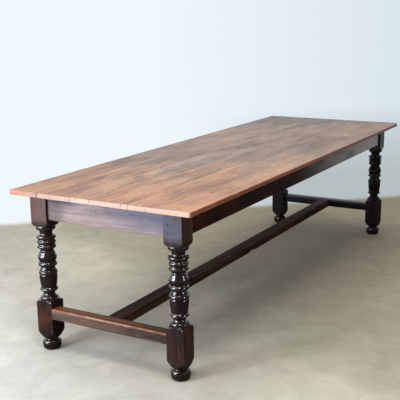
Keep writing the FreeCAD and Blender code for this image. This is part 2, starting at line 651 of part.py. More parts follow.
def make_screw(label, length):
    """Build one slotted wood screw along Z, its head under the origin."""
    body = new_body(label)
    sketch = new_sketch(body, "XZ_Plane")
    head = "Sizes.screw_head_diameter / 2"
    shank = "Sizes.screw_radius"
    rim = "-Sizes.screw_head_height / 3"
    draw_outline(sketch, [
        ("0", length, 0), ("0", "-Sizes.screw_head_height", DOME_BULGE_SHARE), (head, rim, 0),
        (head, "0", 0), (shank, "0", 0), (shank, f"{length} - Sizes.screw_tip_length", 0)])
    turn(body, "Revolution", sketch)
    slot = new_sketch(body, "XY_Plane", "-Sizes.screw_head_height - Sizes.overrun")
    reach = "(Sizes.screw_head_diameter / 2 + Sizes.overrun)"
    half = "Sizes.screw_slot_width / 2"
    draw_box(slot, f"-{reach}", f"-{half}", reach, half)
    extrude(body, "Pocket", slot, "Sizes.screw_slot_depth + Sizes.overrun", flip=True)
    return body


def make_button():
    """Build one wooden button: a block out from the apron, its tongue in the groove."""
    body = new_body("button_pattern")
    sketch = new_sketch(body, "XZ_Plane")
    face = "Sizes.button_setback"
    back = "Sizes.button_setback - Sizes.button_tongue"
    end = "Sizes.button_length"
    low = "-Sizes.button_height"
    bevel = "Sizes.button_bevel"
    draw_outline(sketch, [
        (back, low, 0), (f"{end} - {bevel}", low, 0), (end, f"{low} + {bevel}", 0),
        (end, "0", 0), (face, "0", 0), (face, "-Sizes.groove_drop", 0),
        (back, "-Sizes.groove_drop", 0)])
    extrude(body, "Pad", sketch, "Sizes.button_width", "Symmetric")
    hole = new_sketch(body, "XY_Plane", low)
    draw_circle(hole, "Sizes.button_length / 2", "0", "Sizes.screw_hole_radius")
    extrude(body, "Pocket", hole, "Sizes.button_height", flip=True)
    return body


def make_group(label, pattern, spots):
    """Repeat a pattern piece at bound places and join the copies in one node."""
    copies = []
    for x, y, z, rotation in spots:
        copy = doc.addObject("App::Link", f"{label}_copy")
        copy.LinkedObject = pattern
        place(copy, x, y, z, rotation, prop="LinkPlacement")
        copies.append(copy)
    return join_group(label, copies)


def join_group(label, pieces):
    """Hold separate pieces together as one node."""
    group = doc.addObject("Part::Compound", label)
    group.Label = label
    group.Links = pieces
    return group


def button_spots():
    """Return where the buttons stand: on the apron's inner face, at the top's underside."""
    spots = []
    for share in BUTTON_SHARES:
        along = f"{share} * Sizes.clear_length"
        spots.append((along, "Sizes.button_side_face", "Sizes.leg_height", FACE_RIGHT))
        spots.append((along, "-Sizes.button_side_face", "Sizes.leg_height", FACE_LEFT))
    for board in END_BUTTON_BOARDS:
        across = f"Sizes.board_{board}_place"
        spots.append(("Sizes.button_end_face", across, "Sizes.leg_height", FACE_FRONT))
        spots.append(("-Sizes.button_end_face", across, "Sizes.leg_height", FACE_BACK))
    return spots


def button_screw_spots():
    """Return where the button screws start: under the middle of each button."""
    spots = []
    under = "Sizes.leg_height - Sizes.button_height"
    for x, y, z, rotation in button_spots():
        inward = rotation.multVec(Vector(1, 0, 0))
        shift = "* Sizes.button_length / 2"
        spots.append((f"{x} + {round(inward.x)} {shift}", f"{y} + {round(inward.y)} {shift}",
                      under, Rotation()))
    return spots


def bearer_screw_spots():
    """Return where the bearer screws start: in the sunk seats, one under every plank."""
    seat = "Sizes.leg_height - Sizes.bearer_height + Sizes.counterbore_depth"
    return [(f"{share} * Sizes.clear_length", f"Sizes.screw_{board}_place", seat, Rotation())
            for share in BEARER_SHARES for board in BOARD_NUMBERS]


def apron_peg_spots(joint, along_x):
    """Return where one kind of apron peg, or the low rails' pegs, enters the four legs."""
    spots = []
    outer = joint.half
    inner = f"({joint.length} / 2 - {joint.half})"
    for side_x in (-1, 1):
        for side_y in (-1, 1):
            for height in joint.pegs:
                if along_x:
                    x = f"{side_x} * (Sizes.leg_place_x + {outer})"
                    y = f"{side_y} * (Sizes.leg_place_y + {inner})"
                    rotation = Rotation(Vector(0, 1, 0), -side_x * TURN_QUARTER)
                else:
                    x = f"{side_x} * (Sizes.leg_place_x + {inner})"
                    y = f"{side_y} * (Sizes.leg_place_y + {outer})"
                    rotation = Rotation(Vector(1, 0, 0), side_y * TURN_QUARTER)
                spots.append((x, y, height, rotation))
    return spots


def make_pegs():
    """Build the peg groups of the aprons, the end rails and the middle rail."""
    end_peg = make_peg("end_peg_pattern", "Sizes.end_peg_reach")
    side_peg = make_peg("side_peg_pattern", "Sizes.side_peg_reach")
    stretcher_peg = make_peg("stretcher_peg_pattern", "Sizes.stretcher_peg_reach")
    long_peg = make_peg("long_peg_pattern", "Sizes.long_peg_reach")
    ends = make_group("end_apron_pegs", end_peg, apron_peg_spots(END_APRON_JOINT, True))
    sides = make_group("side_apron_pegs", side_peg, apron_peg_spots(SIDE_APRON_JOINT, False))
    rails = make_group("stretcher_pegs", stretcher_peg, apron_peg_spots(STRETCHER_JOINT, True))
    place_x = "(Sizes.long_stretcher_clear / 2 + Sizes.long_tenon_length / 2)"
    middle = make_group("long_stretcher_pegs", long_peg, [
        (f"{side}{place_x}", "0", "Sizes.stretcher_top", DOWN) for side in ("", "-")])
    return [ends, sides, rails, middle]


def make_screw_drills(spots):
    """Build the holes that the screws need in the planks."""
    pattern = doc.addObject("Part::Cylinder", "drill_pattern")
    bind(pattern, "Radius", "Sizes.screw_hole_radius")
    bind(pattern, "Height", "Sizes.overrun + Sizes.screw_bite + Sizes.joint_clearance")
    return make_group("screw_drills", pattern, [
        (x, y, "Sizes.leg_height - Sizes.overrun", rotation) for x, y, z, rotation in spots])


def make_fixings():
    """Build the buttons and both kinds of screws."""
    button_screw = make_screw("button_screw_pattern", "Sizes.button_height + Sizes.screw_bite")
    bearer_screw = make_screw(
        "bearer_screw_pattern",
        "Sizes.bearer_height - Sizes.counterbore_depth + Sizes.screw_bite")
    return [
        make_group("top_buttons", make_button(), button_spots()),
        make_group("button_screws", button_screw, button_screw_spots()),
        make_group("bearer_screws", bearer_screw, bearer_screw_spots()),
    ]


def check(nodes):
    """Stop if any object failed or a node's shape is empty or invalid."""
    for item in doc.Objects:
        if "Invalid" in item.State or "Error" in item.State:
            raise RuntimeError(f"{item.Label} failed: {item.State}")
    for node in nodes:
        if node.Shape.isNull() or not node.Shape.isValid() or not node.Shape.Solids:
            raise RuntimeError(f"{node.Label} has no valid solid")


def export(nodes):
    """Write each node's shape to its own file."""
    os.makedirs(PARTS_FOLDER, exist_ok=True)
    for node in nodes:
        node.Shape.exportStep(os.path.join(PARTS_FOLDER, f"{node.Label}.step"))


fill_sheet()
screw_drills = make_screw_drills(button_screw_spots() + bearer_screw_spots())
nodes = [make_board(board, screw_drills) for board in BOARD_NUMBERS]
nodes += [make_tongue(board, screw_drills) for board in BOARD_NUMBERS[:-1]]
nodes += make_legs()
nodes += make_aprons()
nodes += [make_end_stretcher("stretcher_left_end", -1, FACE_LEFT),
          make_end_stretcher("stretcher_right_end", 1, FACE_RIGHT),
          make_long_stretcher()]
nodes += [make_bearer(name, share) for name, share in zip(BEARER_NAMES, BEARER_SHARES)]
nodes += make_pegs()
nodes += make_fixings()
doc.recompute()
check(nodes)
export(nodes)
for node in nodes:
    print(node.Label, len(node.Shape.Solids), round(node.Shape.Volume))
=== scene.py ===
import logging
import math
from dataclasses import dataclass
from enum import Enum
from typing import ClassVar

import bpy
import numpy as np
from mathutils import Matrix, Vector


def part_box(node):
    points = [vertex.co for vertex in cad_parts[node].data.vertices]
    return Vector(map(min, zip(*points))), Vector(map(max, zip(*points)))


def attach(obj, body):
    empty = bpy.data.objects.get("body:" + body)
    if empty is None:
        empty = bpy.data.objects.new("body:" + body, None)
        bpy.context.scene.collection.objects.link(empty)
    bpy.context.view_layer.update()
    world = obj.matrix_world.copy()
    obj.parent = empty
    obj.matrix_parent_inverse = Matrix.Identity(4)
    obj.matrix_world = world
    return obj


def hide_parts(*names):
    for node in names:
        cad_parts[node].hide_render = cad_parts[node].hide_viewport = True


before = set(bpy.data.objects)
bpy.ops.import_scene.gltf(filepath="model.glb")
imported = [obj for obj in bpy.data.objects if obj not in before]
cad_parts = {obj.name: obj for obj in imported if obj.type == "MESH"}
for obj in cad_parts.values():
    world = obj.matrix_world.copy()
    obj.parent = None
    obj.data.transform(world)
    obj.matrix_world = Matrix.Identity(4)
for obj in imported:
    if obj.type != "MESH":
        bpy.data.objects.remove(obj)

LOG = logging.getLogger("farmhouse_table")
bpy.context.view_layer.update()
BODY = "root"
MM = 0.001
HALF_LENGTH = 1.38
HALF_WIDTH = 0.463
# Edges sharper than this are shown as edges
SHARP_FROM = math.radians(38)
# How much of an arris each point round a corner's arc is, and the flat beside it
ARC_ARRIS = (0.35, 0.8, 1.0, 1.0, 0.8, 0.35)
FLAT_ARRIS = 0.3

Tree = bpy.types.NodeTree
Socket = bpy.types.NodeSocket
Pair = tuple[float, float]
Triple = tuple[float, float, float]
Radii = tuple[float, float, float, float]
Stops = tuple[tuple[float, str], ...]
Looks = ClassVar[dict[str, object]]


class Grain(Enum):
    """Which way the fibres of a piece run, as the order of its axes: along, across, through."""

    LENGTHWISE = "XYZ"
    CROSSWISE = "YXZ"
    UPRIGHT = "ZXY"


def linear(colour: str) -> tuple[float, float, float, float]:
    """Turn an sRGB hex colour into linear values.

    Args:
        colour: The colour as "#RRGGBB".

    Returns:
        Red, green, blue and alpha, linear.
    """
    shares = [int(colour[i:i + 2], 16) / 255 for i in (1, 3, 5)]
    values = [s / 12.92 if s <= 0.04045 else ((s + 0.055) / 1.055) ** 2.4 for s in shares]
    return values[0], values[1], values[2], 1.0


def add_node(tree: Tree, kind: str, feeds: dict | None = None, out: int | str = 0,
             **settings: object) -> Socket | bpy.types.Node:
    """Add a node with its settings, and link or set its inputs.

    Args:
        tree: The tree that takes the node.
        kind: The node's type name.
        feeds: Input name or number to a source socket or to a plain value.
        out: The output that is wanted.
        settings: Properties of the node itself.

    Returns:
        That output of the new node, or the node if it has no outputs.
    """
    node = tree.nodes.new(kind)
    for name, value in settings.items():
        setattr(node, name, value)
    for key, source in (feeds or {}).items():
        if isinstance(source, Socket):
            tree.links.new(source, node.inputs[key])
        else:
            node.inputs[key].default_value = source
    return node.outputs[out] if node.outputs else node


def new_material(name: str) -> tuple[bpy.types.Material, Tree]:
    """Start a material.

    Args:
        name: The material's name.

    Returns:
        The material and its empty tree.
    """
    material = bpy.data.materials.new(name)
    material.use_nodes = True
    material.node_tree.nodes.clear()
    return material, material.node_tree


def set_ramp(tint: Socket, stops: Stops) -> Socket:
    """Give a colour ramp its stops.

    Args:
        tint: The ramp's colour output.
        stops: Places from 0 to 1, each with a hex colour.

    Returns:
        The same output.
    """
    ramp = tint.node.color_ramp
    while len(ramp.elements) < len(stops):
        ramp.elements.new(1.0)
    for element, (place, colour) in zip(ramp.elements, stops):
        element.position = place
        element.color = linear(colour)
    return tint


def clouds(tree: Tree, source: Socket, per_metre: float | Triple, detail: float,
           reach: Pair | None = None, span: Pair = (0.0, 1.0), out: int | str = 0,
           shift: Triple = (0.0, 0.0, 0.0), **noise: float) -> Socket:
    """Draw soft random clouds, stretched along each axis.

    Args:
        tree: The material's tree.
        source: The place on the piece.
        per_metre: How many clouds a metre holds, for all axes or for each.
        detail: How many finer layers of clouds are added.
        reach: Noise values between which the result runs over the span, if it should.
        span: The result's first and last value.
        out: The noise's output.
        shift: Which part of the noise is shown.
        noise: Roughness or Distortion of the noise.

    Returns:
        The clouds.
    """
    scale = per_metre if isinstance(per_metre, tuple) else (per_metre,) * 3
    laid = add_node(tree, "ShaderNodeMapping", {0: source, "Location": shift, "Scale": scale})
    value = add_node(tree, "ShaderNodeTexNoise", {
        "Vector": laid, "Scale": 1.0, "Detail": detail, **noise}, out)
    if reach is None:
        return value
    return add_node(tree, "ShaderNodeMapRange", {
        "Value": value, "From Min": reach[0], "From Max": reach[1],
        "To Min": span[0], "To Max": span[1]})


@dataclass(frozen=True)
class Coat:
    """A layer of colour: how much of it shows where, and how it mixes with what is under it."""

    amount: Socket | float
    colour: Socket | tuple[float, float, float, float]
    blend: str = "MIX"


@dataclass(frozen=True)
class Mark:
    """A knot, nail hole, stain, painted shade or painted sheen: its middle, half sizes, depth and
    own colour, if any.
    """

    place: Triple
    size: Triple
    depth: float
    colour: str = ""


def knot(along: float, across: float, length: float, width: float, depth: float = 0.7) -> Mark:
    """Return a knot in the top, which goes right through its plank."""
    return Mark((along, across, 0.75), (length, width, 1.0), depth)


@dataclass(frozen=True)
class WoodFinish:
    """Old wood with growth rings, streaks, fibres and wear, under a wax or stain.

    Colours are sRGB hex values. Widths, lengths and gaps are in metres.
    """

    name: str
    grain: Grain
    dark: str
    middle: str
    pale: str
    worn_and_sheen: str
    grime_and_shade: str
    rubbed: str
    seed: float = 0.0
    pith: Pair = (0.05, -0.09)
    tilt: float = 0.03
    ring_gap: float = 0.011
    ring_share: float = 0.25
    streak_share: float = 0.4
    fibre_share: float = 0.2
    tone_reach: float = 0.14
    mottle_share: float = 0.35
    pore_share: float = 0.22
    streak_width: float = 0.022
    streak_length: float = 0.77
    fibre_width: float = 0.0045
    ripple_share: float = 0.0
    ripple_width: float = 0.016
    patch: str = ""
    patch_amount: float = 0.0
    # A coat of painted light on faces towards -X: painted sheen where its colour is pale, painted
    # shade where it is dark. It rises along its way over its reach, with a ragged edge.
    painted_light: str = ""
    painted_light_amount: float = 0.0
    painted_light_reach: Pair = (0.0, 1.0)
    painted_light_way: Triple = (0.0, 0.0, 1.0)
    marks: tuple[Mark, ...] = ()
    roughness: Pair = (0.3, 0.45)
    specular: float = 0.5
    coat: float = 0.0
    coat_roughness: float = 0.2
    relief: float = 0.25
    wear_amount: float = 1.0

    # How many of each pattern's features a metre holds, along, across and through the fibres.
    # Fibres wander from their line by up to 35 mm over a length of about 0.9 m.
    WANDER_PER_METRE: ClassVar[Triple] = (1.1, 3.5, 3.5)
    WANDER: ClassVar[float] = 0.07
    FIBRES_PER_METRE: ClassVar[float] = 9.0
    # Stain and wax take unevenly, in clouds of 330 by 125 mm and patches of 110 by 45 mm
    MOTTLE_PER_METRE: ClassVar[Triple] = (3.0, 8.0, 8.0)
    PATCHES_PER_METRE: ClassVar[Triple] = (9.0, 22.0, 22.0)
    # Open pores are 0.3 mm wide: drawn 1.4 mm wide, or the render wouldn't show them
    PORES_PER_METRE: ClassVar[Triple] = (38.0, 700.0, 700.0)
    # Worn and sheened arrises, and grime and painted shade in hollows, break up every 18 mm; the
    # painted light on -X faces every 70 mm
    WEAR_PER_METRE: ClassVar[float] = 55.0
    PAINTED_LIGHT_PER_METRE: ClassVar[float] = 14.0
    PAINTED_LIGHT_RAGGED: ClassVar[float] = 0.05

    def build(self) -> bpy.types.Material:
        """Make the material.

        Returns:
            A node material on Object coordinates.
        """
        material, tree = new_material(self.name)
        place = add_node(tree, "ShaderNodeTexCoord", out="Object")
        axes = add_node(tree, "ShaderNodeSeparateXYZ", {0: place}).node.outputs
        lay = add_node(tree, "ShaderNodeCombineXYZ",
                       {i: axes[axis] for i, axis in enumerate(self.grain.value)})
        tone, fibres = self.figure(tree, lay)
        colour = set_ramp(add_node(tree, "ShaderNodeValToRGB", {0: tone}),
                          ((0.18, self.dark), (0.5, self.middle), (0.82, self.pale)))
        coats = (*self.dress(tree, place, lay), *self.age(tree, place),
                 *(self.soil(tree, place, mark) for mark in self.marks))
        for coat in coats:
            colour = add_node(tree, "ShaderNodeMix", {
                0: coat.amount, 6: colour, 7: coat.colour}, 2, data_type="RGBA",
                blend_type=coat.blend)
        gloss = add_node(tree, "ShaderNodeMapRange", {
            "Value": fibres, "From Min": 0.3, "From Max": 0.7,
            "To Min": self.roughness[0], "To Max": self.roughness[1]})
        height = add_node(tree, "ShaderNodeMath", {0: tone, 1: fibres}, operation="ADD")
        bump = add_node(tree, "ShaderNodeBump", {
            "Height": height, "Strength": self.relief, "Distance": 0.6 * MM})
        shader = add_node(tree, "ShaderNodeBsdfPrincipled", {
            "Base Color": colour, "Roughness": gloss, "Normal": bump,
            "Specular IOR Level": self.specular, "Coat Weight": self.coat,
            "Coat Roughness": self.coat_roughness})
        add_node(tree, "ShaderNodeOutputMaterial", {0: shader})
        return material

    def figure(self, tree: Tree, lay: Socket) -> tuple[Socket, Socket]:
        """Lay out the growth rings, streaks, fibres and mottling.

        Args:
            tree: The material's tree.
            lay: The place on the piece, fibres along X.

        Returns:
            The tone from dark to pale, and the fibres alone.
        """
        seed = self.seed
        moved = add_node(tree, "ShaderNodeVectorMath", {
            0: lay, 1: (seed * 1.7, seed * 0.61, seed * 0.43)})
        drift = clouds(tree, moved, self.WANDER_PER_METRE, 3.0, out="Color")
        drift = add_node(tree, "ShaderNodeVectorMath", {
            0: drift, 1: (0.5, 0.5, 0.5)}, operation="SUBTRACT")
        drift = add_node(tree, "ShaderNodeVectorMath", {
            0: drift, 1: (0.0, self.WANDER, self.WANDER)}, operation="MULTIPLY")
        wander = add_node(tree, "ShaderNodeVectorMath", {0: lay, 1: drift})
        heart = add_node(tree, "ShaderNodeMapping", {
            0: wander, "Location": (0.0, -self.pith[0], -self.pith[1]),
            "Rotation": (0.0, self.tilt, self.tilt / 2), "Scale": (0.04, 1.0, 1.0)})
        depth = add_node(tree, "ShaderNodeVectorMath", {0: heart}, "Value", operation="LENGTH")
        rings = add_node(tree, "ShaderNodeTexNoise", {
            "W": depth, "Scale": 1 / self.ring_gap, "Detail": 2.0}, noise_dimensions="1D")
        layers = [(rings, self.ring_share)]
        sheets = ((self.ripple_width * 6, 1 / self.ripple_width, self.ripple_share, 3.0),
                  (self.streak_width, 1 / self.streak_length, self.streak_share, 5.0),
                  (self.fibre_width, self.FIBRES_PER_METRE, self.fibre_share, 3.0))
        for width, along, share, detail in sheets:
            if share:
                layers.append((clouds(
                    tree, wander, (along, 1 / width, 1 / width), detail,
                    shift=(seed, seed * 3, seed * 5), Roughness=0.6), share))
        fibres = layers[-1][0]
        layers.append((clouds(tree, moved, self.MOTTLE_PER_METRE, 4.0), self.mottle_share))
        whole = sum(share for _, share in layers)
        tone = 0.0
        for source, share in layers:
            tone = add_node(tree, "ShaderNodeMath", {0: source, 1: share / whole, 2: tone},
                            operation="MULTIPLY_ADD")
        tone = add_node(tree, "ShaderNodeMapRange", {
            "Value": tone, "From Min": 0.5 - self.tone_reach,
            "From Max": 0.5 + self.tone_reach})
        pores = clouds(tree, wander, self.PORES_PER_METRE, 0.0, (0.58, 0.72),
                       (0.0, -self.pore_share), shift=(seed * 7, seed, 0.0))
        return add_node(tree, "ShaderNodeMath", {0: tone, 1: pores}, operation="ADD"), fibres

    def dress(self, tree: Tree, place: Socket, lay: Socket) -> list[Coat]:
        """Lay the painted light on faces towards -X, sheen where its colour is pale and shade
        where it is dark, and the broad patches that stain leaves.

        Args:
            tree: The material's tree.
            place: The place on the piece.
            lay: The same, fibres along X.

        Returns:
            The coats, the lowest first.
        """
        coats = []
        if self.painted_light:
            up = add_node(tree, "ShaderNodeVectorMath", {0: place, 1: self.painted_light_way}, "Value",
                          operation="DOT_PRODUCT")
            up = add_node(tree, "ShaderNodeMath", {
                0: clouds(tree, place, self.PAINTED_LIGHT_PER_METRE, 3.0), 1: self.PAINTED_LIGHT_RAGGED, 2: up},
                operation="MULTIPLY_ADD")
            start, full = (edge + self.PAINTED_LIGHT_RAGGED / 2 for edge in self.painted_light_reach)
            # How much of the painted light lies here, on faces towards -X only
            dull = add_node(tree, "ShaderNodeMapRange", {
                "Value": up, "From Min": start, "From Max": full, "To Max": self.painted_light_amount})
            dull = add_node(tree, "ShaderNodeMath", {
                0: dull, 1: self.facing_end(tree, 0.4, 0.8)}, operation="MULTIPLY")
            coats.append(Coat(dull, linear(self.painted_light)))
        if self.patch:
            amount = clouds(tree, lay, self.PATCHES_PER_METRE, 3.0, (0.48, 0.66),
                            (0.0, self.patch_amount), shift=(self.seed, -self.seed, self.seed))
            coats.append(Coat(amount, linear(self.patch)))
        return coats

    def facing_end(self, tree: Tree, start: float, full: float) -> Socket:
        """Find where the surface faces the table's left end, -X.

        Args:
            tree: The material's tree.
            start: How much it faces that way where the result leaves 0.
            full: How much it does where the result reaches 1.

        Returns:
            A value from 0 to 1.
        """
        normal = add_node(tree, "ShaderNodeNewGeometry", out="Normal")
        turned = add_node(tree, "ShaderNodeSeparateXYZ", {0: normal})
        return add_node(tree, "ShaderNodeMapRange", {
            "Value": turned, "From Min": -start, "From Max": -full})

    def soil(self, tree: Tree, place: Socket, mark: Mark) -> Coat:
        """Colour the wood at one mark, with a ragged edge: darker for dirt and painted shade,
        paler for painted sheen.

        Args:
            tree: The material's tree.
            place: The place on the piece.
            mark: The mark.

        Returns:
            The mark's coat.
        """
        least = min(mark.size)
        ragged = 0.8 * least
        rough = clouds(tree, place, 0.45 / least, 3.0, out="Color")
        bent = add_node(tree, "ShaderNodeVectorMath", {
            0: rough, 1: (ragged,) * 3, 2: place}, operation="MULTIPLY_ADD")
        offset = add_node(tree, "ShaderNodeVectorMath", {
            0: bent, 1: tuple(value + ragged / 2 for value in mark.place)},
            operation="SUBTRACT")
        scaled = add_node(tree, "ShaderNodeVectorMath", {
            0: offset, 1: tuple(1 / size for size in mark.size)}, operation="MULTIPLY")
        reach = add_node(tree, "ShaderNodeVectorMath", {0: scaled}, "Value", operation="LENGTH")
        amount = add_node(tree, "ShaderNodeMapRange", {
            "Value": reach, "From Min": 1.1, "From Max": 0.25, "To Min": 0.0,
            "To Max": mark.depth}, interpolation_type="SMOOTHSTEP")
        return Coat(amount, linear(mark.colour or self.grime_and_shade))

    def age(self, tree: Tree, place: Socket) -> list[Coat]:
        """Rub the arrises pale, as wear and painted sheen, and leave grime and painted shade in
        the hollows.

        Args:
            tree: The material's tree.
            place: The place on the piece.

        Returns:
            The coats, the lowest first.
        """
        broken = clouds(tree, place, self.WEAR_PER_METRE, 4.0)
        coats = []
        # Pale arrises are wear with painted sheen; dark hollows are grime with painted shade
        for name, tint, most in (("rub", self.rubbed, 0.9), ("wear", self.worn_and_sheen, self.wear_amount),
                                 ("hollow", self.grime_and_shade, 0.85)):
            mark = add_node(tree, "ShaderNodeAttribute", out="Fac", attribute_name=name)
            uneven = add_node(tree, "ShaderNodeMapRange", {
                "Value": broken, "From Min": 0.3, "From Max": 0.6,
                "To Min": 0.45 * most, "To Max": most})
            amount = add_node(tree, "ShaderNodeMath", {0: mark, 1: uneven},
                              operation="MULTIPLY", use_clamp=True)
            coats.append(Coat(amount, linear(tint)))
        return coats


@dataclass(frozen=True)
class PlankFinish(WoodFinish):
    """A waxed plank of the top: faded towards one end, with knots, ripple and pale end grain."""

    fade: Stops = ((0.05, "#CF9A76"), (0.24, "#CCA180"), (0.37, "#AC9280"), (0.55, "#A48C7E"),
                   (0.72, "#B49380"), (0.86, "#AB9182"), (1.0, "#8A7A70"))
    fade_shift: float = 0.0
    fade_cloud: float = 2.6
    end_tints: Stops = ((0.0, "#AE5C34"), (0.08, "#B26A44"), (0.15, "#AE8472"),
                        (0.3, "#B2968A"), (0.5, "#BEA296"), (0.8, "#C0A092"), (1.0, "#D2B2A2"))
    end_dark: str = "#6E4632"
    side_tint: str = "#7E340A"
    ripple: Pair = (0.0, 0.0)

    # Faded clouds are 250 by 90 mm. Stains and small dents have their own sizes, the noise value
    # at which they start, and their strength. Checks in the end grain open every 17 mm.
    FADE_PER_METRE: ClassVar[Triple] = (4.0, 11.0, 11.0)
    STAINS: ClassVar[tuple[tuple[float, float, float, float], ...]] = (
        (7.0, 24.0, 0.58, 0.6), (26.0, 120.0, 0.63, 0.5))
    CHECKS_PER_METRE: ClassVar[Triple] = (1.0, 60.0, 25.0)

    def dress(self, tree: Tree, place: Socket, lay: Socket) -> list[Coat]:
        """Fade the plank along its length, and add its ripple, stains, side and end grain.

        Args:
            tree: The material's tree.
            place: The place on the piece.
            lay: The same, fibres along X; not used here.

        Returns:
            The coats, the lowest first.
        """
        along = add_node(tree, "ShaderNodeSeparateXYZ", {0: place})
        cloud = clouds(tree, place, self.FADE_PER_METRE, 7.0, Roughness=0.68,
                       shift=(self.seed, self.seed, 0.0))
        cloud = add_node(tree, "ShaderNodeMath", {0: cloud, 1: self.fade_cloud, 2: along},
                         operation="MULTIPLY_ADD")
        middle = self.fade_cloud / 2 - self.fade_shift
        fade = add_node(tree, "ShaderNodeMapRange", {
            "Value": cloud, "From Min": middle - HALF_LENGTH, "From Max": middle + HALF_LENGTH})
        tint = set_ramp(add_node(tree, "ShaderNodeValToRGB", {0: fade}), self.fade)
        coats = [Coat(1.0, tint, "MULTIPLY")]
        if self.ripple[1] > self.ripple[0]:
            coats.append(self.draw_ripple(tree, place, along))
        for length, width, start, most in self.STAINS:
            amount = clouds(tree, place, (length, width, width), 5.0, (start, start + 0.12),
                            (0.0, most), Roughness=0.7,
                            shift=(self.seed + length, self.seed, 0.0))
            coats.append(Coat(amount, linear(self.grime_and_shade)))
        normal = add_node(tree, "ShaderNodeNewGeometry", out="Normal")
        turned = add_node(tree, "ShaderNodeSeparateXYZ", {0: normal}, 1)
        turned = add_node(tree, "ShaderNodeMath", {0: turned}, operation="ABSOLUTE")
        turned = add_node(tree, "ShaderNodeMapRange", {
            "Value": turned, "From Min": 0.55, "From Max": 0.95, "To Max": 0.9})
        return [*coats, Coat(turned, linear(self.side_tint)), self.show_end_grain(tree, place)]

    def draw_ripple(self, tree: Tree, place: Socket, along: Socket) -> Coat:
        """Draw the pale cross-bands of rippled grain on one stretch of the plank.

        Args:
            tree: The material's tree.
            place: The place on the piece.
            along: The place along the table.

        Returns:
            The ripple's coat.
        """
        bands = add_node(tree, "ShaderNodeTexWave", {
            "Vector": place, "Scale": 8.0, "Distortion": 11.0, "Detail": 3.0,
            "Detail Scale": 2.2}, "Fac", bands_direction="X")
        middle = (self.ripple[0] + self.ripple[1]) / 2
        half = (self.ripple[1] - self.ripple[0]) / 2
        off = add_node(tree, "ShaderNodeMath", {0: along, 1: middle}, operation="SUBTRACT")
        off = add_node(tree, "ShaderNodeMath", {0: off}, operation="ABSOLUTE")
        inside = add_node(tree, "ShaderNodeMapRange", {
            "Value": off, "From Min": half, "From Max": half * 0.3, "To Max": 0.08})
        amount = add_node(tree, "ShaderNodeMath", {0: bands, 1: inside}, operation="MULTIPLY")
        return Coat(amount, linear(self.pale))

    def show_end_grain(self, tree: Tree, place: Socket) -> Coat:
        """Show scrubbed end grain with fine dark checks on the sawn end.

        Args:
            tree: The material's tree.
            place: The place on the piece.

        Returns:
            The end's coat.
        """
        across = add_node(tree, "ShaderNodeSeparateXYZ", {0: place}, 1)
        across = add_node(tree, "ShaderNodeMapRange", {
            "Value": across, "From Min": HALF_WIDTH, "From Max": -HALF_WIDTH})
        tint = set_ramp(add_node(tree, "ShaderNodeValToRGB", {0: across}), self.end_tints)
        checks = clouds(tree, place, self.CHECKS_PER_METRE, 5.0, (0.46, 0.34), (0.0, 0.8),
                        Roughness=0.75)
        ends = add_node(tree, "ShaderNodeMix", {0: checks, 6: tint, 7: linear(self.end_dark)}, 2,
                        data_type="RGBA")
        return Coat(self.facing_end(tree, 0.3, 0.8), ends)


@dataclass(frozen=True)
class SteelFinish:
    """Dulled steel of old slotted screws: grey, uneven, with brown in the pits."""

    name: str = "dulled_steel"
    clean: str = "#8A8580"
    rusty: str = "#5A3A28"
    pits_per_metre: float = 700.0

    def build(self) -> bpy.types.Material:
        """Make the material.

        Returns:
            A node material on Object coordinates.
        """
        material, tree = new_material(self.name)
        place = add_node(tree, "ShaderNodeTexCoord", out="Object")
        pits = clouds(tree, place, self.pits_per_metre, 3.0)
        colour = set_ramp(add_node(tree, "ShaderNodeValToRGB", {0: pits}),
                          ((0.4, self.rusty), (0.6, self.clean)))
        dull = add_node(tree, "ShaderNodeMapRange", {
            "Value": pits, "To Min": 0.65, "To Max": 0.35})
        bump = add_node(tree, "ShaderNodeBump", {
            "Height": pits, "Strength": 0.3, "Distance": 0.1 * MM})
        shader = add_node(tree, "ShaderNodeBsdfPrincipled", {
            "Base Color": colour, "Roughness": dull, "Normal": bump, "Metallic": 1.0})
        add_node(tree, "ShaderNodeOutputMaterial", {0: shader})
        return material


def new_object(name: str, data: bpy.types.ID) -> bpy.types.Object:
    """Put a mesh, lamp or camera in the scene as an object at the origin.

    Args:
        name: The object's name.
        data: The mesh, lamp or camera.

    Returns:
        The object.
    """
    thing = bpy.data.objects.new(name, data)
    bpy.context.scene.collection.objects.link(thing)
    return thing


def ring_mesh(name: str, rings: np.ndarray, marks: dict[str, np.ndarray]) -> bpy.types.Mesh:
    """Skin a row of closed rings and cap both ends.

    Args:
        name: The mesh's name.
        rings: Points, shaped (rings, points in a ring, 3), each ring anticlockwise as seen
            from the row's far end.
        marks: Value names to values, shaped (rings, points in a ring).

    Returns:
        The closed mesh, smooth but for its sharp edges.
    """
    rows, count = rings.shape[:2]
    index = np.arange(rows * count).reshape(rows, count)
    here, beside = index[:-1], np.roll(index[:-1], -1, axis=1)
    above, corner = index[1:], np.roll(index[1:], -1, axis=1)
    quads = np.stack([here, beside, corner, above], axis=-1).reshape(-1, 4)
    faces = quads.tolist() + [index[0][::-1].tolist(), index[-1].tolist()]
    mesh = bpy.data.meshes.new(name)
    mesh.from_pydata(rings.reshape(-1, 3).tolist(), [], faces)
    for label, values in marks.items():
        mark = mesh.attributes.new(label, "FLOAT", "POINT")
        mark.data.foreach_set("value", values.reshape(-1).astype(np.float32))
    mesh.polygons.foreach_set("use_smooth", np.ones(len(mesh.polygons), bool))
    mesh.update()
    mesh.set_sharp_from_angle(angle=SHARP_FROM)
    return mesh


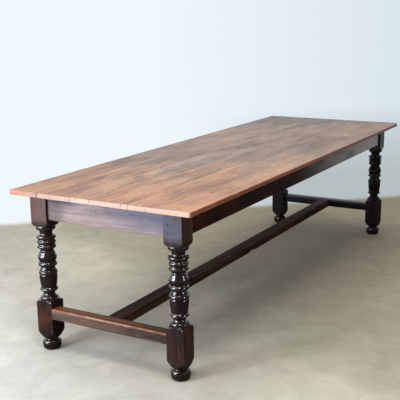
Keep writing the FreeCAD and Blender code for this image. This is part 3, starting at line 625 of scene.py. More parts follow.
class ShapeTree:
    """A geometry tree with named inputs that shapes a piece and gives it its finish."""

    name: str
    takes: str
    sizes: tuple[tuple[str, str], ...]

    def __init__(self) -> None:
        """Open the tree with its sockets, lay its nodes, and end it with the finish."""
        self.inputs: dict[str, str] = {}
        tree = bpy.data.node_groups.new(self.name, "GeometryNodeTree")
        self.tree: Tree = tree
        for name, kind in ((self.takes, "Geometry"), *self.sizes, ("Finish", "Material")):
            socket = tree.interface.new_socket(name, in_out="INPUT",
                                               socket_type=f"NodeSocket{kind}")
            self.inputs[name] = socket.identifier
        tree.interface.new_socket("Shape", in_out="OUTPUT", socket_type="NodeSocketGeometry")
        source = add_node(tree, "NodeGroupInput").node.outputs
        painted = add_node(tree, "GeometryNodeSetMaterial", {
            0: self.lay(tree, source), "Material": source["Finish"]})
        add_node(tree, "NodeGroupOutput", {0: painted})

    def lay(self, tree: Tree, source: bpy.types.NodeOutputs) -> Socket:
        """Lay the nodes that make the shape, and return the shape."""
        raise NotImplementedError

    def apply(self, thing: bpy.types.Object, values: dict[str, object]) -> None:
        """Run the tree on an object and keep the result as its plain mesh.

        Args:
            thing: The object.
            values: Input names to values.
        """
        modifier = thing.modifiers.new("shape", "NODES")
        modifier.node_group = self.tree
        for name, value in values.items():
            modifier[self.inputs[name]] = value
        depsgraph = bpy.context.evaluated_depsgraph_get()
        mesh = bpy.data.meshes.new_from_object(thing.evaluated_get(depsgraph),
                                               preserve_all_data_layers=True, depsgraph=depsgraph)
        thing.modifiers.clear()
        thing.data = mesh


class WearTree(ShapeTree):
    """Geometry nodes that rub a piece's arrises down unevenly and flatten its faces a little."""

    name = "worn_arrises"
    takes = "Timber"
    sizes = (("Depth", "Float"), ("Patch Length", "Float"), ("Flat Depth", "Float"),
             ("Seed", "Float"))

    def lay(self, tree: Tree, source: bpy.types.NodeOutputs) -> Socket:
        """Move the surface in where it is rubbed.

        Args:
            tree: The tree.
            source: The tree's inputs.

        Returns:
            The worn shape.
        """
        arris = add_node(tree, "GeometryNodeInputNamedAttribute", {0: "arris"},
                         data_type="FLOAT")
        scale = add_node(tree, "ShaderNodeMath", {0: 1.0, 1: source["Patch Length"]},
                         operation="DIVIDE")
        rubbing = add_node(tree, "ShaderNodeTexNoise", {
            "W": source["Seed"], "Scale": scale, "Detail": 4.0, "Roughness": 0.6},
            noise_dimensions="4D")
        rubbing = add_node(tree, "ShaderNodeMapRange", {
            "Value": rubbing, "From Min": 0.35, "From Max": 0.7})
        worn_and_sheen = add_node(tree, "ShaderNodeMath", {0: rubbing, 1: arris}, operation="MULTIPLY")
        swell = add_node(tree, "ShaderNodeTexNoise", {
            "W": source["Seed"], "Scale": 7.0, "Detail": 1.0}, noise_dimensions="4D")
        flat = add_node(tree, "ShaderNodeMath", {0: swell, 1: source["Flat Depth"]},
                        operation="MULTIPLY")
        depth = add_node(tree, "ShaderNodeMath", {0: worn_and_sheen, 1: source["Depth"], 2: flat},
                         operation="MULTIPLY_ADD")
        inward = add_node(tree, "ShaderNodeMath", {0: depth, 1: -1.0}, operation="MULTIPLY")
        normal = add_node(tree, "GeometryNodeInputNormal")
        offset = add_node(tree, "ShaderNodeVectorMath", {0: normal, 3: inward},
                          operation="SCALE")
        kept = add_node(tree, "GeometryNodeStoreNamedAttribute", {
            0: source["Timber"], 2: "wear", 3: worn_and_sheen}, data_type="FLOAT", domain="POINT")
        return add_node(tree, "GeometryNodeSetPosition", {0: kept, "Offset": offset})


@dataclass(frozen=True)
class Wear:
    """How hard a piece has been rubbed, in metres, and which noise it takes."""

    depth: float
    seed: float
    patch: float = 0.06
    flat: float = 0.3 * MM


@dataclass
class Timber:
    """A piece of wood that stands for one CAD node."""

    node: str
    slot: str
    finish: WoodFinish
    wear: Wear

    def shape(self) -> bpy.types.Mesh:
        """Return the piece's mesh before it is worn."""
        raise NotImplementedError

    def build(self, bench: WearTree) -> bpy.types.Object:
        """Shape, wear and dress the piece and let it stand for its node.

        Args:
            bench: The tree that wears the arrises.

        Returns:
            The finished piece.
        """
        thing = new_object(f"{self.node}_worn", self.shape())
        bench.apply(thing, {
            "Depth": self.wear.depth, "Patch Length": self.wear.patch,
            "Flat Depth": self.wear.flat, "Seed": self.wear.seed,
            "Finish": self.finish.build()})
        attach(thing, BODY)
        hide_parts(self.node)
        LOG.info("%s: %d faces", thing.name, len(thing.data.polygons))
        return thing


def rounded_section(width: float, height: float, radii: Radii,
                    step: float) -> tuple[np.ndarray, np.ndarray]:
    """Draw a rectangle with rounded corners.

    Args:
        width: Size across.
        height: Size up.
        radii: Corner radii: bottom right, top right, top left, bottom left.
        step: Longest spacing of the points on the flats.

    Returns:
        The points, anticlockwise, and how much of an arris each is, from 0 to 1.
    """
    corners = ((1, -1), (1, 1), (-1, 1), (-1, -1))
    points: list[Pair] = []
    arris: list[float] = []
    arcs = []
    for number, ((side, up), radius) in enumerate(zip(corners, radii)):
        centre = (side * (width / 2 - radius), up * (height / 2 - radius))
        first = -math.pi / 2 + number * math.pi / 2
        arcs.append([(centre[0] + radius * math.cos(first + turn),
                      centre[1] + radius * math.sin(first + turn))
                     for turn in np.linspace(0, math.pi / 2, len(ARC_ARRIS))])
    for number, arc in enumerate(arcs):
        points += arc
        arris += ARC_ARRIS
        start, end = arc[-1], arcs[(number + 1) % 4][0]
        gap = math.dist(start, end)
        for share in np.linspace(0, 1, max(2, round(gap / step)) + 1)[1:-1]:
            points.append((start[0] + (end[0] - start[0]) * share,
                           start[1] + (end[1] - start[1]) * share))
            away = min(share, 1 - share) * gap / (3 * radii[0])
            arris.append(max(0.0, FLAT_ARRIS - away * FLAT_ARRIS))
    return np.array(points), np.array(arris)


@dataclass
class Bar(Timber):
    """A sawn and planed bar: a plank or a rail, with rounded arrises and stub tenons.

    The radii are those of its section's corners: lower front, lower back, upper back and upper
    front for a bar along the table. Rings are set by station along it, and its rounded ends draw
    in by end_spread across and by end_share from above. A chip runs between two places.
    """

    radii: Radii = (1.6 * MM,) * 4
    end_radius: float = 1.2 * MM
    end_share: float = 0.5
    end_spread: float = 1.0
    corner_radii: Pair = (0.0, 0.0)
    tenon: float = 0.0
    tenon_size: Pair = (0.0, 0.0)
    station: float = 0.014
    flat_step: float = 0.009
    rub_top: float = 0.0
    chip: Pair | None = None
    chip_size: Pair = (14 * MM, 8 * MM)
    chip_slope: float = 9 * MM

    # Rings on a rounded end, at a worn corner, and along the chip and a little past it
    END_RINGS: ClassVar[int] = 5
    CORNER_RINGS: ClassVar[int] = 4
    CHIP_RINGS: ClassVar[int] = 40
    CHIP_MARGIN: ClassVar[float] = 8 * MM
    # Feet and hands rub a bar's top from this depth down, fading over this height
    RUB_DEPTH: ClassVar[float] = 4 * MM
    RUB_FADE: ClassVar[float] = 3 * MM
    # Radians per metre of the two waves that make the chip's roof ragged
    RAGGED_WAVES: ClassVar[Pair] = (900.0, 370.0)

    def stations(self, length: float) -> tuple[np.ndarray, np.ndarray]:
        """Space the rings along the bar, closer at its ends, worn corners and chip.

        Args:
            length: The bar's length without tenons.

        Returns:
            The rings' places along the bar, and how far its rounded ends draw them in.
        """
        turns = np.linspace(0, math.pi / 2, self.END_RINGS)
        lead = self.end_radius * (1 - np.cos(turns))
        inset = self.end_radius * (1 - np.sin(turns))
        half = length / 2
        body = np.linspace(-half + 2 * self.end_radius, half - 2 * self.end_radius,
                           max(3, round(length / self.station)))
        extra = []
        if self.chip:
            extra.append(np.linspace(self.chip[0] - self.CHIP_MARGIN,
                                     self.chip[1] + self.CHIP_MARGIN, self.CHIP_RINGS))
        if max(self.corner_radii) > 1.3 * self.end_radius:
            corner = half - np.linspace(1.2 * self.end_radius, max(self.corner_radii),
                                        self.CORNER_RINGS)
            extra += [corner, -corner]
        body = np.unique(np.concatenate([body, *extra]).round(5))
        places = np.concatenate([-half + lead, body, (half - lead)[::-1]])
        return places, np.concatenate([inset, np.zeros(len(body)), inset[::-1]])

    def shape(self) -> bpy.types.Mesh:
        """Skin the bar from ring to ring and lay it in the box of its node.

        Returns:
            The bar's mesh before it is worn.
        """
        low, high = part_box(self.node)
        size = high - low
        crosswise = size.y > size.x
        long, wide = (size.y, size.x) if crosswise else (size.x, size.y)
        long -= 2 * self.tenon
        outline, arris = rounded_section(wide, size.z, self.radii, self.flat_step)
        places, insets = self.stations(long)
        rings, marks, rubs = [], [], []
        for place, inset in zip(places, insets):
            shrink = np.array([1 - 2 * inset * self.end_spread / wide, 1 - inset / size.z])
            drop = inset * (0.5 - self.end_share)
            ring = outline * shrink + [0.0, drop]
            if self.chip:
                ring = self.cut_chip(ring, place, wide, size.z)
            ring = self.round_corner(ring, long / 2 - abs(place), wide)
            rings.append(np.column_stack([np.full(len(ring), place), ring]))
            edge = min(1.0, inset / self.end_radius)
            marks.append(np.maximum(arris, 0.8 * edge))
            rubs.append(self.rub(ring, size.z))
        if self.tenon:
            half = np.array(self.tenon_size) / 2
            stub = np.clip(outline, -half, half)
            shoulder, tip = long / 2, long / 2 + self.tenon
            left, inner_left, inner_right, right = (
                np.column_stack([np.full(len(stub), place), stub])
                for place in (-tip, -shoulder, shoulder, tip))
            rings = [left, inner_left, *rings, inner_right, right]
            blank = [np.zeros(len(stub))] * 2
            marks, rubs = [*blank, *marks, *blank], [*blank, *rubs, *blank]
        points = np.array(rings)
        if crosswise:
            points = points[..., [1, 0, 2]] * [-1, 1, 1]
        points = points + np.array((low + high) / 2)
        return ring_mesh(self.node, points, {"arris": np.array(marks), "rub": np.array(rubs),
                                             "hollow": np.zeros(points.shape[:2])})

    def rub(self, ring: np.ndarray, high: float) -> np.ndarray:
        """Return how much feet or hands have rubbed each point of a ring."""
        top = np.clip((ring[:, 1] - high / 2 + self.RUB_DEPTH) / self.RUB_FADE, 0, 1)
        return self.rub_top * top

    def round_corner(self, ring: np.ndarray, gap: float, wide: float) -> np.ndarray:
        """Draw a ring in where a corner of the bar is worn round, seen from above.

        Args:
            ring: The section's points.
            gap: The ring's distance from the bar's end.
            wide: The bar's width.

        Returns:
            The section's points, drawn in.
        """
        for side, radius in zip((-1, 1), self.corner_radii):
            if gap < radius:
                inset = radius - math.sqrt(radius ** 2 - (radius - gap) ** 2)
                scale = np.where(ring[:, :1] * side > 0, 1 - 2 * inset / wide, 1.0)
                ring = ring * np.hstack([scale, np.ones_like(scale)])
        return ring

    def cut_chip(self, ring: np.ndarray, place: float, wide: float, high: float) -> np.ndarray:
        """Break the old chip out of a ring's lower front arris.

        Args:
            ring: The section's points.
            place: Its place along the bar.
            wide: The bar's width.
            high: The bar's height.

        Returns:
            The section's points, with those in the chip moved up to its roof.
        """
        start, end = self.chip
        share = min(place - start, end - place) / self.chip_slope
        first, second = self.RAGGED_WAVES
        ragged = 0.75 + 0.25 * math.sin(place * first) * math.cos(place * second)
        roof = -high / 2 + self.chip_size[1] * ragged * min(max(share, 0.0), 1.0)
        inside = ring[:, 0] < -wide / 2 + self.chip_size[0]
        cut = ring.copy()
        cut[inside, 1] = np.maximum(cut[inside, 1], roof)
        return cut


@dataclass
class Leg(Timber):
    """A square post turned between its blocks, with a bun foot."""

    half: float = 44.5 * MM
    lower_half: float = 43 * MM
    foot_height: float = 92 * MM
    lower_block: float = 138 * MM
    upper_block: float = 128 * MM
    turned: float = 43 * MM
    foot: float = 42 * MM
    height: float = 738 * MM
    softening: float = 1.6 * MM
    polish: WoodFinish | None = None

    # Points around a ring and the power that crowds them towards its four corners, the power
    # that squares a block's section off, and the half width, in rings, over which the outline is
    # averaged to tell its beads from its hollows
    POINTS: ClassVar[int] = 88
    CROWDING: ClassVar[float] = 1.45
    SQUARENESS: ClassVar[int] = 70
    AVERAGED: ClassVar[int] = 9
    # A swell or hollow of this much is fully rubbed, or fully darkened with grime and painted
    # shade
    FULL_RUB: ClassVar[float] = 2.5 * MM
    FULL_GRIME_AND_SHADE: ClassVar[float] = 3 * MM
    # The polish of the turnings ends 12 mm under the foot's top, starts again 4 mm above the lower
    # block and ends 2 mm below the upper one
    POLISH_MARGINS: ClassVar[Triple] = (-12 * MM, 4 * MM, 2 * MM)
    # Outlines from the bottom up: share of the height, share of the radius, and how far the
    # stretch that follows bows, as a share of its chord
    BALUSTER_SHARES = (
        (0.033, 1.023, 0), (0.044, 1.023, 0), (0.047, 0.943, 0), (0.055, 0.943, -0.14),
        (0.077, 0.795, 0.12), (0.103, 0.600, 0), (0.112, 0.600, 0.10), (0.138, 0.830, -0.28),
        (0.176, 0.890, 0), (0.184, 0.820, 0), (0.198, 0.815, -0.03), (0.340, 0.943, 0),
        (0.346, 0.920, 0), (0.352, 0.960, -0.16), (0.390, 0.940, -0.10), (0.402, 0.830, 0),
        (0.423, 0.790, 0.08), (0.436, 0.735, 0), (0.449, 0.750, 0), (0.457, 0.955, -0.12),
        (0.490, 0.955, 0), (0.500, 0.870, 0.08), (0.518, 0.880, -0.15), (0.600, 0.885, -0.06),
        (0.638, 0.725, 0.12), (0.653, 0.715, 0.20), (0.675, 0.955, -0.10), (0.703, 0.960, 0),
        (0.711, 0.900, 0.15), (0.732, 0.900, -0.30), (0.770, 0.900, 0.15), (0.789, 0.900, 0),
        (0.795, 1.005, -0.10), (0.825, 1.005, 0), (0.832, 0.790, 0.15), (0.854, 0.672, 0),
        (0.868, 0.680, 0.08), (0.897, 0.800, 0), (0.903, 0.985, -0.10), (0.945, 1.015, -0.20),
    )
    FOOT_SHARES = (
        (0, 0.715, -0.20), (0.207, 0.988, -0.08), (0.391, 0.976, -0.17), (0.505, 0.726, 0),
        (0.522, 0.690, 0.06), (0.614, 0.690, 0), (0.641, 0.762, 0), (0.674, 1.000, 0),
    )
    LOWER_SHOULDER_BOW_SHARE = -0.05

    def build(self, bench: WearTree) -> bpy.types.Object:
        """Shape and dress the leg, with a brighter polish on its turnings than on its blocks.

        Args:
            bench: The tree that wears the arrises.

        Returns:
            The finished leg.
        """
        thing = super().build(bench)
        if self.polish:
            thing.data.materials.append(self.polish.build())
            middles = np.empty(3 * len(thing.data.polygons))
            thing.data.polygons.foreach_get("center", middles)
            up = middles[2::3]
            foot, lower, upper = self.POLISH_MARGINS
            turning = (up > self.foot_height + self.lower_block + lower) & (
                up < self.height - self.upper_block - upper)
            turning |= up < self.foot_height + foot
            thing.data.polygons.foreach_set("material_index", turning.astype(np.int32))
        return thing

    def outline(self) -> np.ndarray:
        """Draw the outline that the lathe gives the post, from the floor up.

        Returns:
            Rows of height and radius. At a block the radius is that of its corners.
        """
        corner = self.half * math.sqrt(2)
        base = self.foot_height + self.lower_block
        rise = self.height - self.upper_block - base
        points = [(z * self.foot_height, r * self.foot, bow) for z, r, bow in self.FOOT_SHARES]
        points += [(self.foot_height, corner, 0), (base, corner, self.LOWER_SHOULDER_BOW_SHARE)]
        points += [(base + z * rise, r * self.turned, bow)
                   for z, r, bow in self.BALUSTER_SHARES]
        points += [(base + rise, corner, 0), (self.height, corner, 0)]
        rows: list[Pair] = []
        for (z, r, bow), (z_next, r_next, _) in zip(points, points[1:]):
            run = math.hypot(z_next - z, r_next - r)
            flat = r == corner and r_next == corner
            count = max(2, math.ceil(run / (7 * MM if flat else 1.3 * MM)))
            for share in np.arange(count) / count:
                lift = 4 * bow * share * (1 - share)
                rows.append((z + (z_next - z) * share + (r_next - r) * lift,
                             r + (r_next - r) * share - (z_next - z) * lift))
        rows.append((self.height, corner))
        return np.array(rows)

    def shape(self) -> bpy.types.Mesh:
        """Skin the leg from ring to ring and lay it in the box of its node.

        Returns:
            The leg's mesh before it is worn.
        """
        low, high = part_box(self.node)
        rows = self.outline()
        heights, radii = rows[:, :1], rows[:, 1:]
        spread = np.linspace(-1, 1, self.POINTS // 4 + 1)[:-1]
        quarter = math.pi / 4 * (1 + np.sign(spread) * np.abs(spread) ** self.CROWDING)
        angles = np.concatenate([quarter + turn * math.pi / 2 for turn in range(4)])[None, :]
        power = self.SQUARENESS
        block = (np.abs(np.cos(angles)) ** power
                 + np.abs(np.sin(angles)) ** power) ** (-1 / power)
        change = self.foot_height + self.lower_block + 12 * MM
        square = block * np.where(heights < change, self.lower_half, self.half)
        # The smaller of block and turning stands, with a soft change from one to the other
        blur = self.softening
        share = np.clip(0.5 + 0.5 * (square - radii) / blur, 0, 1)
        reach = square * (1 - share) + radii * share - blur * share * (1 - share)
        points = np.stack([np.cos(angles) * reach, np.sin(angles) * reach,
                           np.broadcast_to(heights, reach.shape)], axis=-1)
        centre = (low + high) / 2
        points = points + [centre.x, centre.y, low.z]
        on_block = np.clip((radii - square) / (4 * MM), 0, 1)
        arris = on_block * np.clip((block - 1.25) / 0.1, 0, 1)
        width = self.AVERAGED
        padded = np.pad(rows[:, 1], width, mode="edge")
        around = np.array([padded[i:i + 2 * width + 1].mean() for i in range(len(rows))])
        bulge = (rows[:, 1] - around)[:, None] * (1 - on_block)
        hollow = np.clip(-bulge / self.FULL_GRIME_AND_SHADE, 0, 1)
        rub = np.clip(bulge / self.FULL_RUB, 0, 1)
        return ring_mesh(self.node, points, {
            "arris": np.maximum(arris, 0.25 * rub), "hollow": hollow, "rub": 0.3 * rub})


class PegTree(ShapeTree):
    """Geometry nodes that set a slightly domed, hand-cut peg on every point of a mesh."""

    name = "driven_pegs"
    takes = "Holes"
    sizes = (("Radius", "Float"), ("Length", "Float"), ("Proud", "Float"), ("Seed", "Int"))

    def lay(self, tree: Tree, source: bpy.types.NodeOutputs) -> Socket:
        """Make one peg of ten flats, and set and twist it at each hole.

        Args:
            tree: The tree.
            source: The tree's inputs.

        Returns:
            The pegs, as real meshes.
        """
        tip = add_node(tree, "ShaderNodeMath", {0: source["Radius"], 1: 0.62},
                       operation="MULTIPLY")
        drop = add_node(tree, "ShaderNodeMath", {0: source["Length"], 1: -1.0},
                        operation="MULTIPLY")
        head, shank = (add_node(tree, "GeometryNodeMeshCone", {
            "Vertices": 10, "Side Segments": 1, "Radius Top": top, "Radius Bottom": bottom,
            "Depth": depth}, "Mesh", fill_type="NGON") for top, bottom, depth in (
                (tip, source["Radius"], source["Proud"]),
                (source["Radius"], tip, source["Length"])))
        down = add_node(tree, "ShaderNodeCombineXYZ", {2: drop})
        shank = add_node(tree, "GeometryNodeTransform", {0: shank, "Translation": down})
        both = add_node(tree, "GeometryNodeJoinGeometry", {0: head})
        tree.links.new(shank, both.node.inputs[0])
        peg = add_node(tree, "GeometryNodeMergeByDistance", {0: both, "Distance": 0.05 * MM})
        outward = add_node(tree, "GeometryNodeInputNamedAttribute", {0: "outward"},
                           data_type="FLOAT_VECTOR")
        aimed = add_node(tree, "FunctionNodeAlignRotationToVector", {"Vector": outward},
                         axis="Z")
        twist = add_node(tree, "FunctionNodeRandomValue", {
            2: 0.0, 3: math.tau, "Seed": source["Seed"]}, 1, data_type="FLOAT")
        spun = add_node(tree, "FunctionNodeAxisAngleToRotation", {"Angle": twist})
        turned = add_node(tree, "FunctionNodeRotateRotation", {0: aimed, 1: spun},
                          rotation_space="LOCAL")
        placed = add_node(tree, "GeometryNodeInstanceOnPoints", {
            "Points": source["Holes"], "Instance": peg, "Rotation": turned})
        return add_node(tree, "GeometryNodeRealizeInstances", {0: placed})


@dataclass
class PegSet:
    """One kind of the base's oak pegs: where their heads stand and how long they are."""

    node: str
    spots: list[tuple[Vector, Vector]]
    length: float
    seed: int
    radius: float = 4.5 * MM
    proud: float = 1.1 * MM

    def build(self, bench: PegTree, finish: bpy.types.Material) -> bpy.types.Object:
        """Drive the pegs and let them stand for their node.

        Args:
            bench: The tree that makes pegs.
            finish: The pegs' material.

        Returns:
            The finished piece.
        """
        mesh = bpy.data.meshes.new(self.node)
        mesh.from_pydata([spot for spot, _ in self.spots], [], [])
        aim = mesh.attributes.new("outward", "FLOAT_VECTOR", "POINT")
        aim.data.foreach_set("vector", np.array([way for _, way in self.spots]).ravel())
        thing = new_object(f"{self.node}_driven", mesh)
        bench.apply(thing, {"Radius": self.radius, "Length": self.length,
                            "Proud": self.proud, "Seed": self.seed, "Finish": finish})
        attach(thing, BODY)
        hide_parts(self.node)
        LOG.info("%s: %d pegs", thing.name, len(self.spots))
        return thing


@dataclass
class Top:
    """The top of five tongued planks."""

    wax: str = "waxed_walnut"
    slot: str = "waxed_top"
    outer_arris: float = 3.2 * MM
    seam_arris: float = 0.9 * MM
    end_arris: float = 4.5 * MM
    front_corner: float = 9 * MM
    back_corner: float = 4 * MM

    # Old walnut planks, planed and hand-waxed: satin, warm amber where the sun has bleached
    # them at one end, and greyer and duller towards the other
    WAX: Looks = {
        "grain": Grain.LENGTHWISE, "grime_and_shade": "#4A372C", "worn_and_sheen": "#E6C0A6", "rubbed": "#C79A7C",
        "roughness": (0.36, 0.48), "specular": 0.5, "relief": 0.3, "ring_share": 0.16,
        "ring_gap": 0.012, "streak_share": 0.21, "streak_width": 0.011, "streak_length": 0.2,
        "fibre_share": 0.32, "mottle_share": 0.42, "wear_amount": 0.8, "ripple_share": 0.1}
    # Each plank's dark, middle and pale tone, and how far its fading is shifted
    PLANKS: ClassVar[tuple[tuple[str, str, str, float], ...]] = (
        ("#94847A", "#D9D2CC", "#FFFFFF", 0.2), ("#96887E", "#DFD9D3", "#FFFFFF", 0.1),
        ("#948880", "#DCD6D2", "#FFFFFF", 0.18), ("#98887E", "#E2DAD2", "#FFFFFF", -0.05),
        ("#9A8678", "#E4DACF", "#FFFBF4", -0.2))
    RIPPLED_PLANK: ClassVar[int] = 2
    RIPPLE: ClassVar[Pair] = (-0.78, -0.22)
    FAR_END: ClassVar[Mark] = Mark((1.385, 0.0, 0.76), (0.05, 0.6, 1.0), 0.6)
    MARKS: ClassVar[tuple[tuple[Mark, ...], ...]] = (
        (knot(0.95, 0.40, 0.03, 0.02), knot(1.12, 0.41, 0.03, 0.02),
         Mark((0.6, 0.462, 0.76), (0.9, 0.014, 1.0), 0.4)),
        (knot(-0.62, 0.215, 0.04, 0.012, 0.5), knot(0.2, 0.15, 0.09, 0.012, 0.5)),
        (knot(-0.90, 0.10, 0.05, 0.018, 0.6), knot(-0.70, -0.01, 0.08, 0.014, 0.5),
         knot(0.45, -0.02, 0.12, 0.01, 0.5), knot(-0.62, 0.05, 0.22, 0.05, 0.35),
         knot(-1.24, 0.03, 0.03, 0.014, 0.5)),
        (knot(0.44, -0.165, 0.055, 0.016), knot(0.72, -0.165, 0.06, 0.016)),
        (knot(-1.03, -0.37, 0.03, 0.013), knot(0.62, -0.21, 0.1, 0.012, 0.5),
         # Pale lines along the front arris: wear with painted sheen
         Mark((0.7, -0.463, 0.76), (1.1, 0.007, 0.011), 0.8, "#B8A294"),
         Mark((-0.6, -0.463, 0.761), (0.8, 0.006, 0.008), 0.6, "#D8A88C")))

    def finish(self, number: int) -> PlankFinish:
        """Set out the finish of one plank.

        Args:
            number: The plank, counted from 0 at the back edge.

        Returns:
            The finish.
        """
        dark, middle, pale, shift = self.PLANKS[number]
        return PlankFinish(
            name=f"{self.wax}_{number + 1}", dark=dark, middle=middle, pale=pale,
            marks=(*self.MARKS[number], self.FAR_END), seed=1.3 + 2.1 * number,
            pith=(0.09 * (number - 2) + 0.03, 0.16 + 0.05 * number), tilt=0.03 + 0.02 * number,
            ripple=self.RIPPLE if number == self.RIPPLED_PLANK else (0.0, 0.0),
            fade_shift=shift, **self.WAX)

    def build(self, bench: WearTree) -> None:
        """Lay the planks, the back one first.

        Args:
            bench: The tree that wears the arrises.
        """
        last = len(self.PLANKS) - 1
        for number in range(len(self.PLANKS)):
            front = self.outer_arris if number == last else self.seam_arris
            back = self.outer_arris if number == 0 else self.seam_arris
            Bar(node=f"top_board_{number + 1}", slot=self.slot, finish=self.finish(number),
                wear=Wear(depth=0.8 * MM, patch=0.09, flat=0.15 * MM, seed=number + 1.0),
                radii=(back * 0.7, back, front, front * 0.7), end_radius=self.end_arris,
                end_share=0.85, end_spread=0.2,
                corner_radii=(self.front_corner * (number == last),
                              self.back_corner * (number == 0))).build(bench)


@dataclass
class Base:
    """The stained oak base: legs, aprons and low rails."""

    slot: str = "dark_base"
    rail_slot: str = "dark_rail"

    # Planed oak under a dark stain and a hand-rubbed polish: brown-black with a soft shine
    STAINED: Looks = {
        "dark": "#1E1310", "middle": "#2E1E18", "pale": "#432C22", "worn_and_sheen": "#5E4234",
        "grime_and_shade": "#100B09", "rubbed": "#432C22", "patch": "#4A2218", "patch_amount": 0.5,
        "roughness": (0.25, 0.36), "specular": 0.25, "relief": 0.3, "wear_amount": 0.5,
        "streak_width": 0.014, "pith": (0.03, 0.05)}
    # The far end is nearly black: a darker stain deepened by painted shade
    SHADED_BLACK: Looks = {
        "dark": "#0F0A08", "middle": "#17100D", "pale": "#241814", "patch": "#24130E",
        "rubbed": "#2A1C16", "worn_and_sheen": "#3A2A22", "specular": 0.15}
    # The near posts show redder patches, and painted sheen on the -X faces of their upper blocks
    NEAR: Looks = {
        "painted_light": "#666A7A", "painted_light_amount": 0.7, "painted_light_reach": (0.60, 0.63),
        "dark": "#1C1310", "middle": "#30221C", "pale": "#4C352C", "patch": "#5C3628",
        "patch_amount": 0.55, "grime_and_shade": "#080504", "tone_reach": 0.22, "streak_share": 0.25,
        "mottle_share": 0.6}
    NEAR_LEFT: Looks = NEAR | {
        "painted_light": "#745C58", "patch": "#5E3022", "middle": "#261913", "pale": "#382620"}
    # Turnings were polished on the lathe: nearly black, smooth, with sharp gleams
    TURNED: Looks = {
        "dark": "#0A0605", "middle": "#150C0A", "pale": "#241511", "patch": "#3A1A12",
        "grime_and_shade": "#030202", "roughness": (0.15, 0.24), "specular": 0.8, "coat": 1.0,
        "coat_roughness": 0.13, "relief": 0.06, "painted_light": ""}
    # The left end apron is painted pale greyish pink all over, partly a haze of old wax and mostly
    # painted sheen, with painted blue-grey shade and sheen at its top under the overhang
    HAZE_AND_SHEEN: Looks = {
        "dark": "#7E6E6C", "middle": "#9C8888", "pale": "#B29E9C", "patch": "#947468",
        "patch_amount": 0.35, "roughness": (0.42, 0.54), "specular": 0.5, "worn_and_sheen": "#A08C86",
        "rubbed": "#9A8684", "grime_and_shade": "#2E2624", "painted_light": "#4A5268", "painted_light_amount": 0.85,
        "painted_light_reach": (0.662, 0.735), "painted_light_way": (0.0, -0.2, 1.0),
        "marks": (
            # Painted shade with some dirt where the apron meets the post, broader painted shade
            # beside the post, and a blue-black painted shadow under the top's overhang
            Mark((-1.318, 0.303, 0.68), (1.0, 0.008, 1.0), 0.95),
            Mark((-1.318, 0.29, 0.68), (1.0, 0.1, 1.0), 0.55),
            Mark((-1.318, 0.25, 0.735), (1.0, 0.17, 0.055), 0.9, "#141A28"),
            *(Mark((-1.318, across, up), (1.0, wide, 0.005), depth)
              for across, up, wide, depth in (
                  (0.037, 0.696, 0.005, 0.9), (-0.022, 0.719, 0.022, 0.6),
                  (-0.11, 0.722, 0.03, 0.4), (-0.15, 0.7, 0.012, 0.5),
                  (0.085, 0.722, 0.02, 0.5), (0.24, 0.71, 0.004, 0.8))))}
    # The other aprons are dark, and the front one carries a painted pale grey sheen towards its
    # far end
    SIDE: Looks = {
        "roughness": (0.3, 0.45), "specular": 0.1, "dark": "#160D0A", "middle": "#24140F",
        "pale": "#38211A", "patch": "#4A2012", "patch_amount": 0.6, "tone_reach": 0.2}
    FRONT_PAINTED_SHEEN: Looks = SIDE | {"marks": (
        # The first two marks are painted sheen: pale grey reflections towards the far end
        Mark((1.3, -0.378, 0.69), (0.65, 1.0, 0.2), 0.9, "#B4BABC"),
        Mark((0.75, -0.378, 0.69), (0.85, 1.0, 0.2), 0.6, "#A6A39E"),
        Mark((0.45, -0.378, 0.735), (0.5, 1.0, 0.02), 0.3, "#B09C8C"),
        *(Mark((along, -0.378, up), (wide, 1.0, 0.03), 0.35, "#1C1A1A")
          for along, up, wide in ((0.2, 0.68, 0.12), (0.5, 0.7, 0.12), (0.7, 0.65, 0.1))))}
    # Feet have worn the stain off the near end rail: bare tan arrises, paled further by painted
    # sheen, and dark lines along its top
    TRODDEN: Looks = {
        "dark": "#3A2E27", "middle": "#5A4A40", "pale": "#847262", "patch": "#6E5242",
        "worn_and_sheen": "#E6C2A8", "rubbed": "#8E4A1E",
        "marks": (Mark((-1.274, -0.1, 0.208), (0.016, 0.6, 0.03), 0.75),
                  Mark((-1.307, -0.05, 0.208), (0.011, 0.5, 0.03), 0.7),
                  Mark((-1.29, -0.27, 0.208), (0.04, 0.16, 0.03), 0.5),
                  Mark((-1.328, 0.05, 0.158), (0.02, 0.4, 0.016), 0.6, "#3A2E27")),
        # Painted shade on its end face, growing towards its right end
        "wear_amount": 1.0, "roughness": (0.4, 0.6), "specular": 0.12, "painted_light": "#332B28",
        "painted_light_amount": 0.7, "painted_light_reach": (-0.12, 0.3), "painted_light_way": (0.0, -1.0, 0.0)}
    # The long rail's polish has gone dull, and its top is black with boot dirt; its pale arrises
    # carry painted sheen as well as wear
    DULL: Looks = {
        "dark": "#221610", "middle": "#38241B", "pale": "#4C3327", "worn_and_sheen": "#8C7A6C",
        "rubbed": "#150E0B", "wear_amount": 1.0, "roughness": (0.5, 0.7), "specular": 0.06,
        "patch": "#4C281C"}

    def finish(self, name: str, grain: Grain, seed: float,
               changes: dict[str, object]) -> WoodFinish:
        """Return the base's dark stained and polished oak.

        Args:
            name: The piece that it is for.
            grain: The way the fibres run.
            seed: Which part of the figure it shows.
            changes: Fields that differ from the base's usual finish.

        Returns:
            The finish.
        """
        return WoodFinish(name=f"stained_oak_{name}", grain=grain, seed=seed,
                          **(self.STAINED | changes))

    def build(self, bench: WearTree) -> None:
        """Make the legs, the aprons and the rails.

        Args:
            bench: The tree that wears the arrises.
        """
        self.stand_legs(bench)
        self.fit_aprons(bench)
        self.fit_rails(bench)

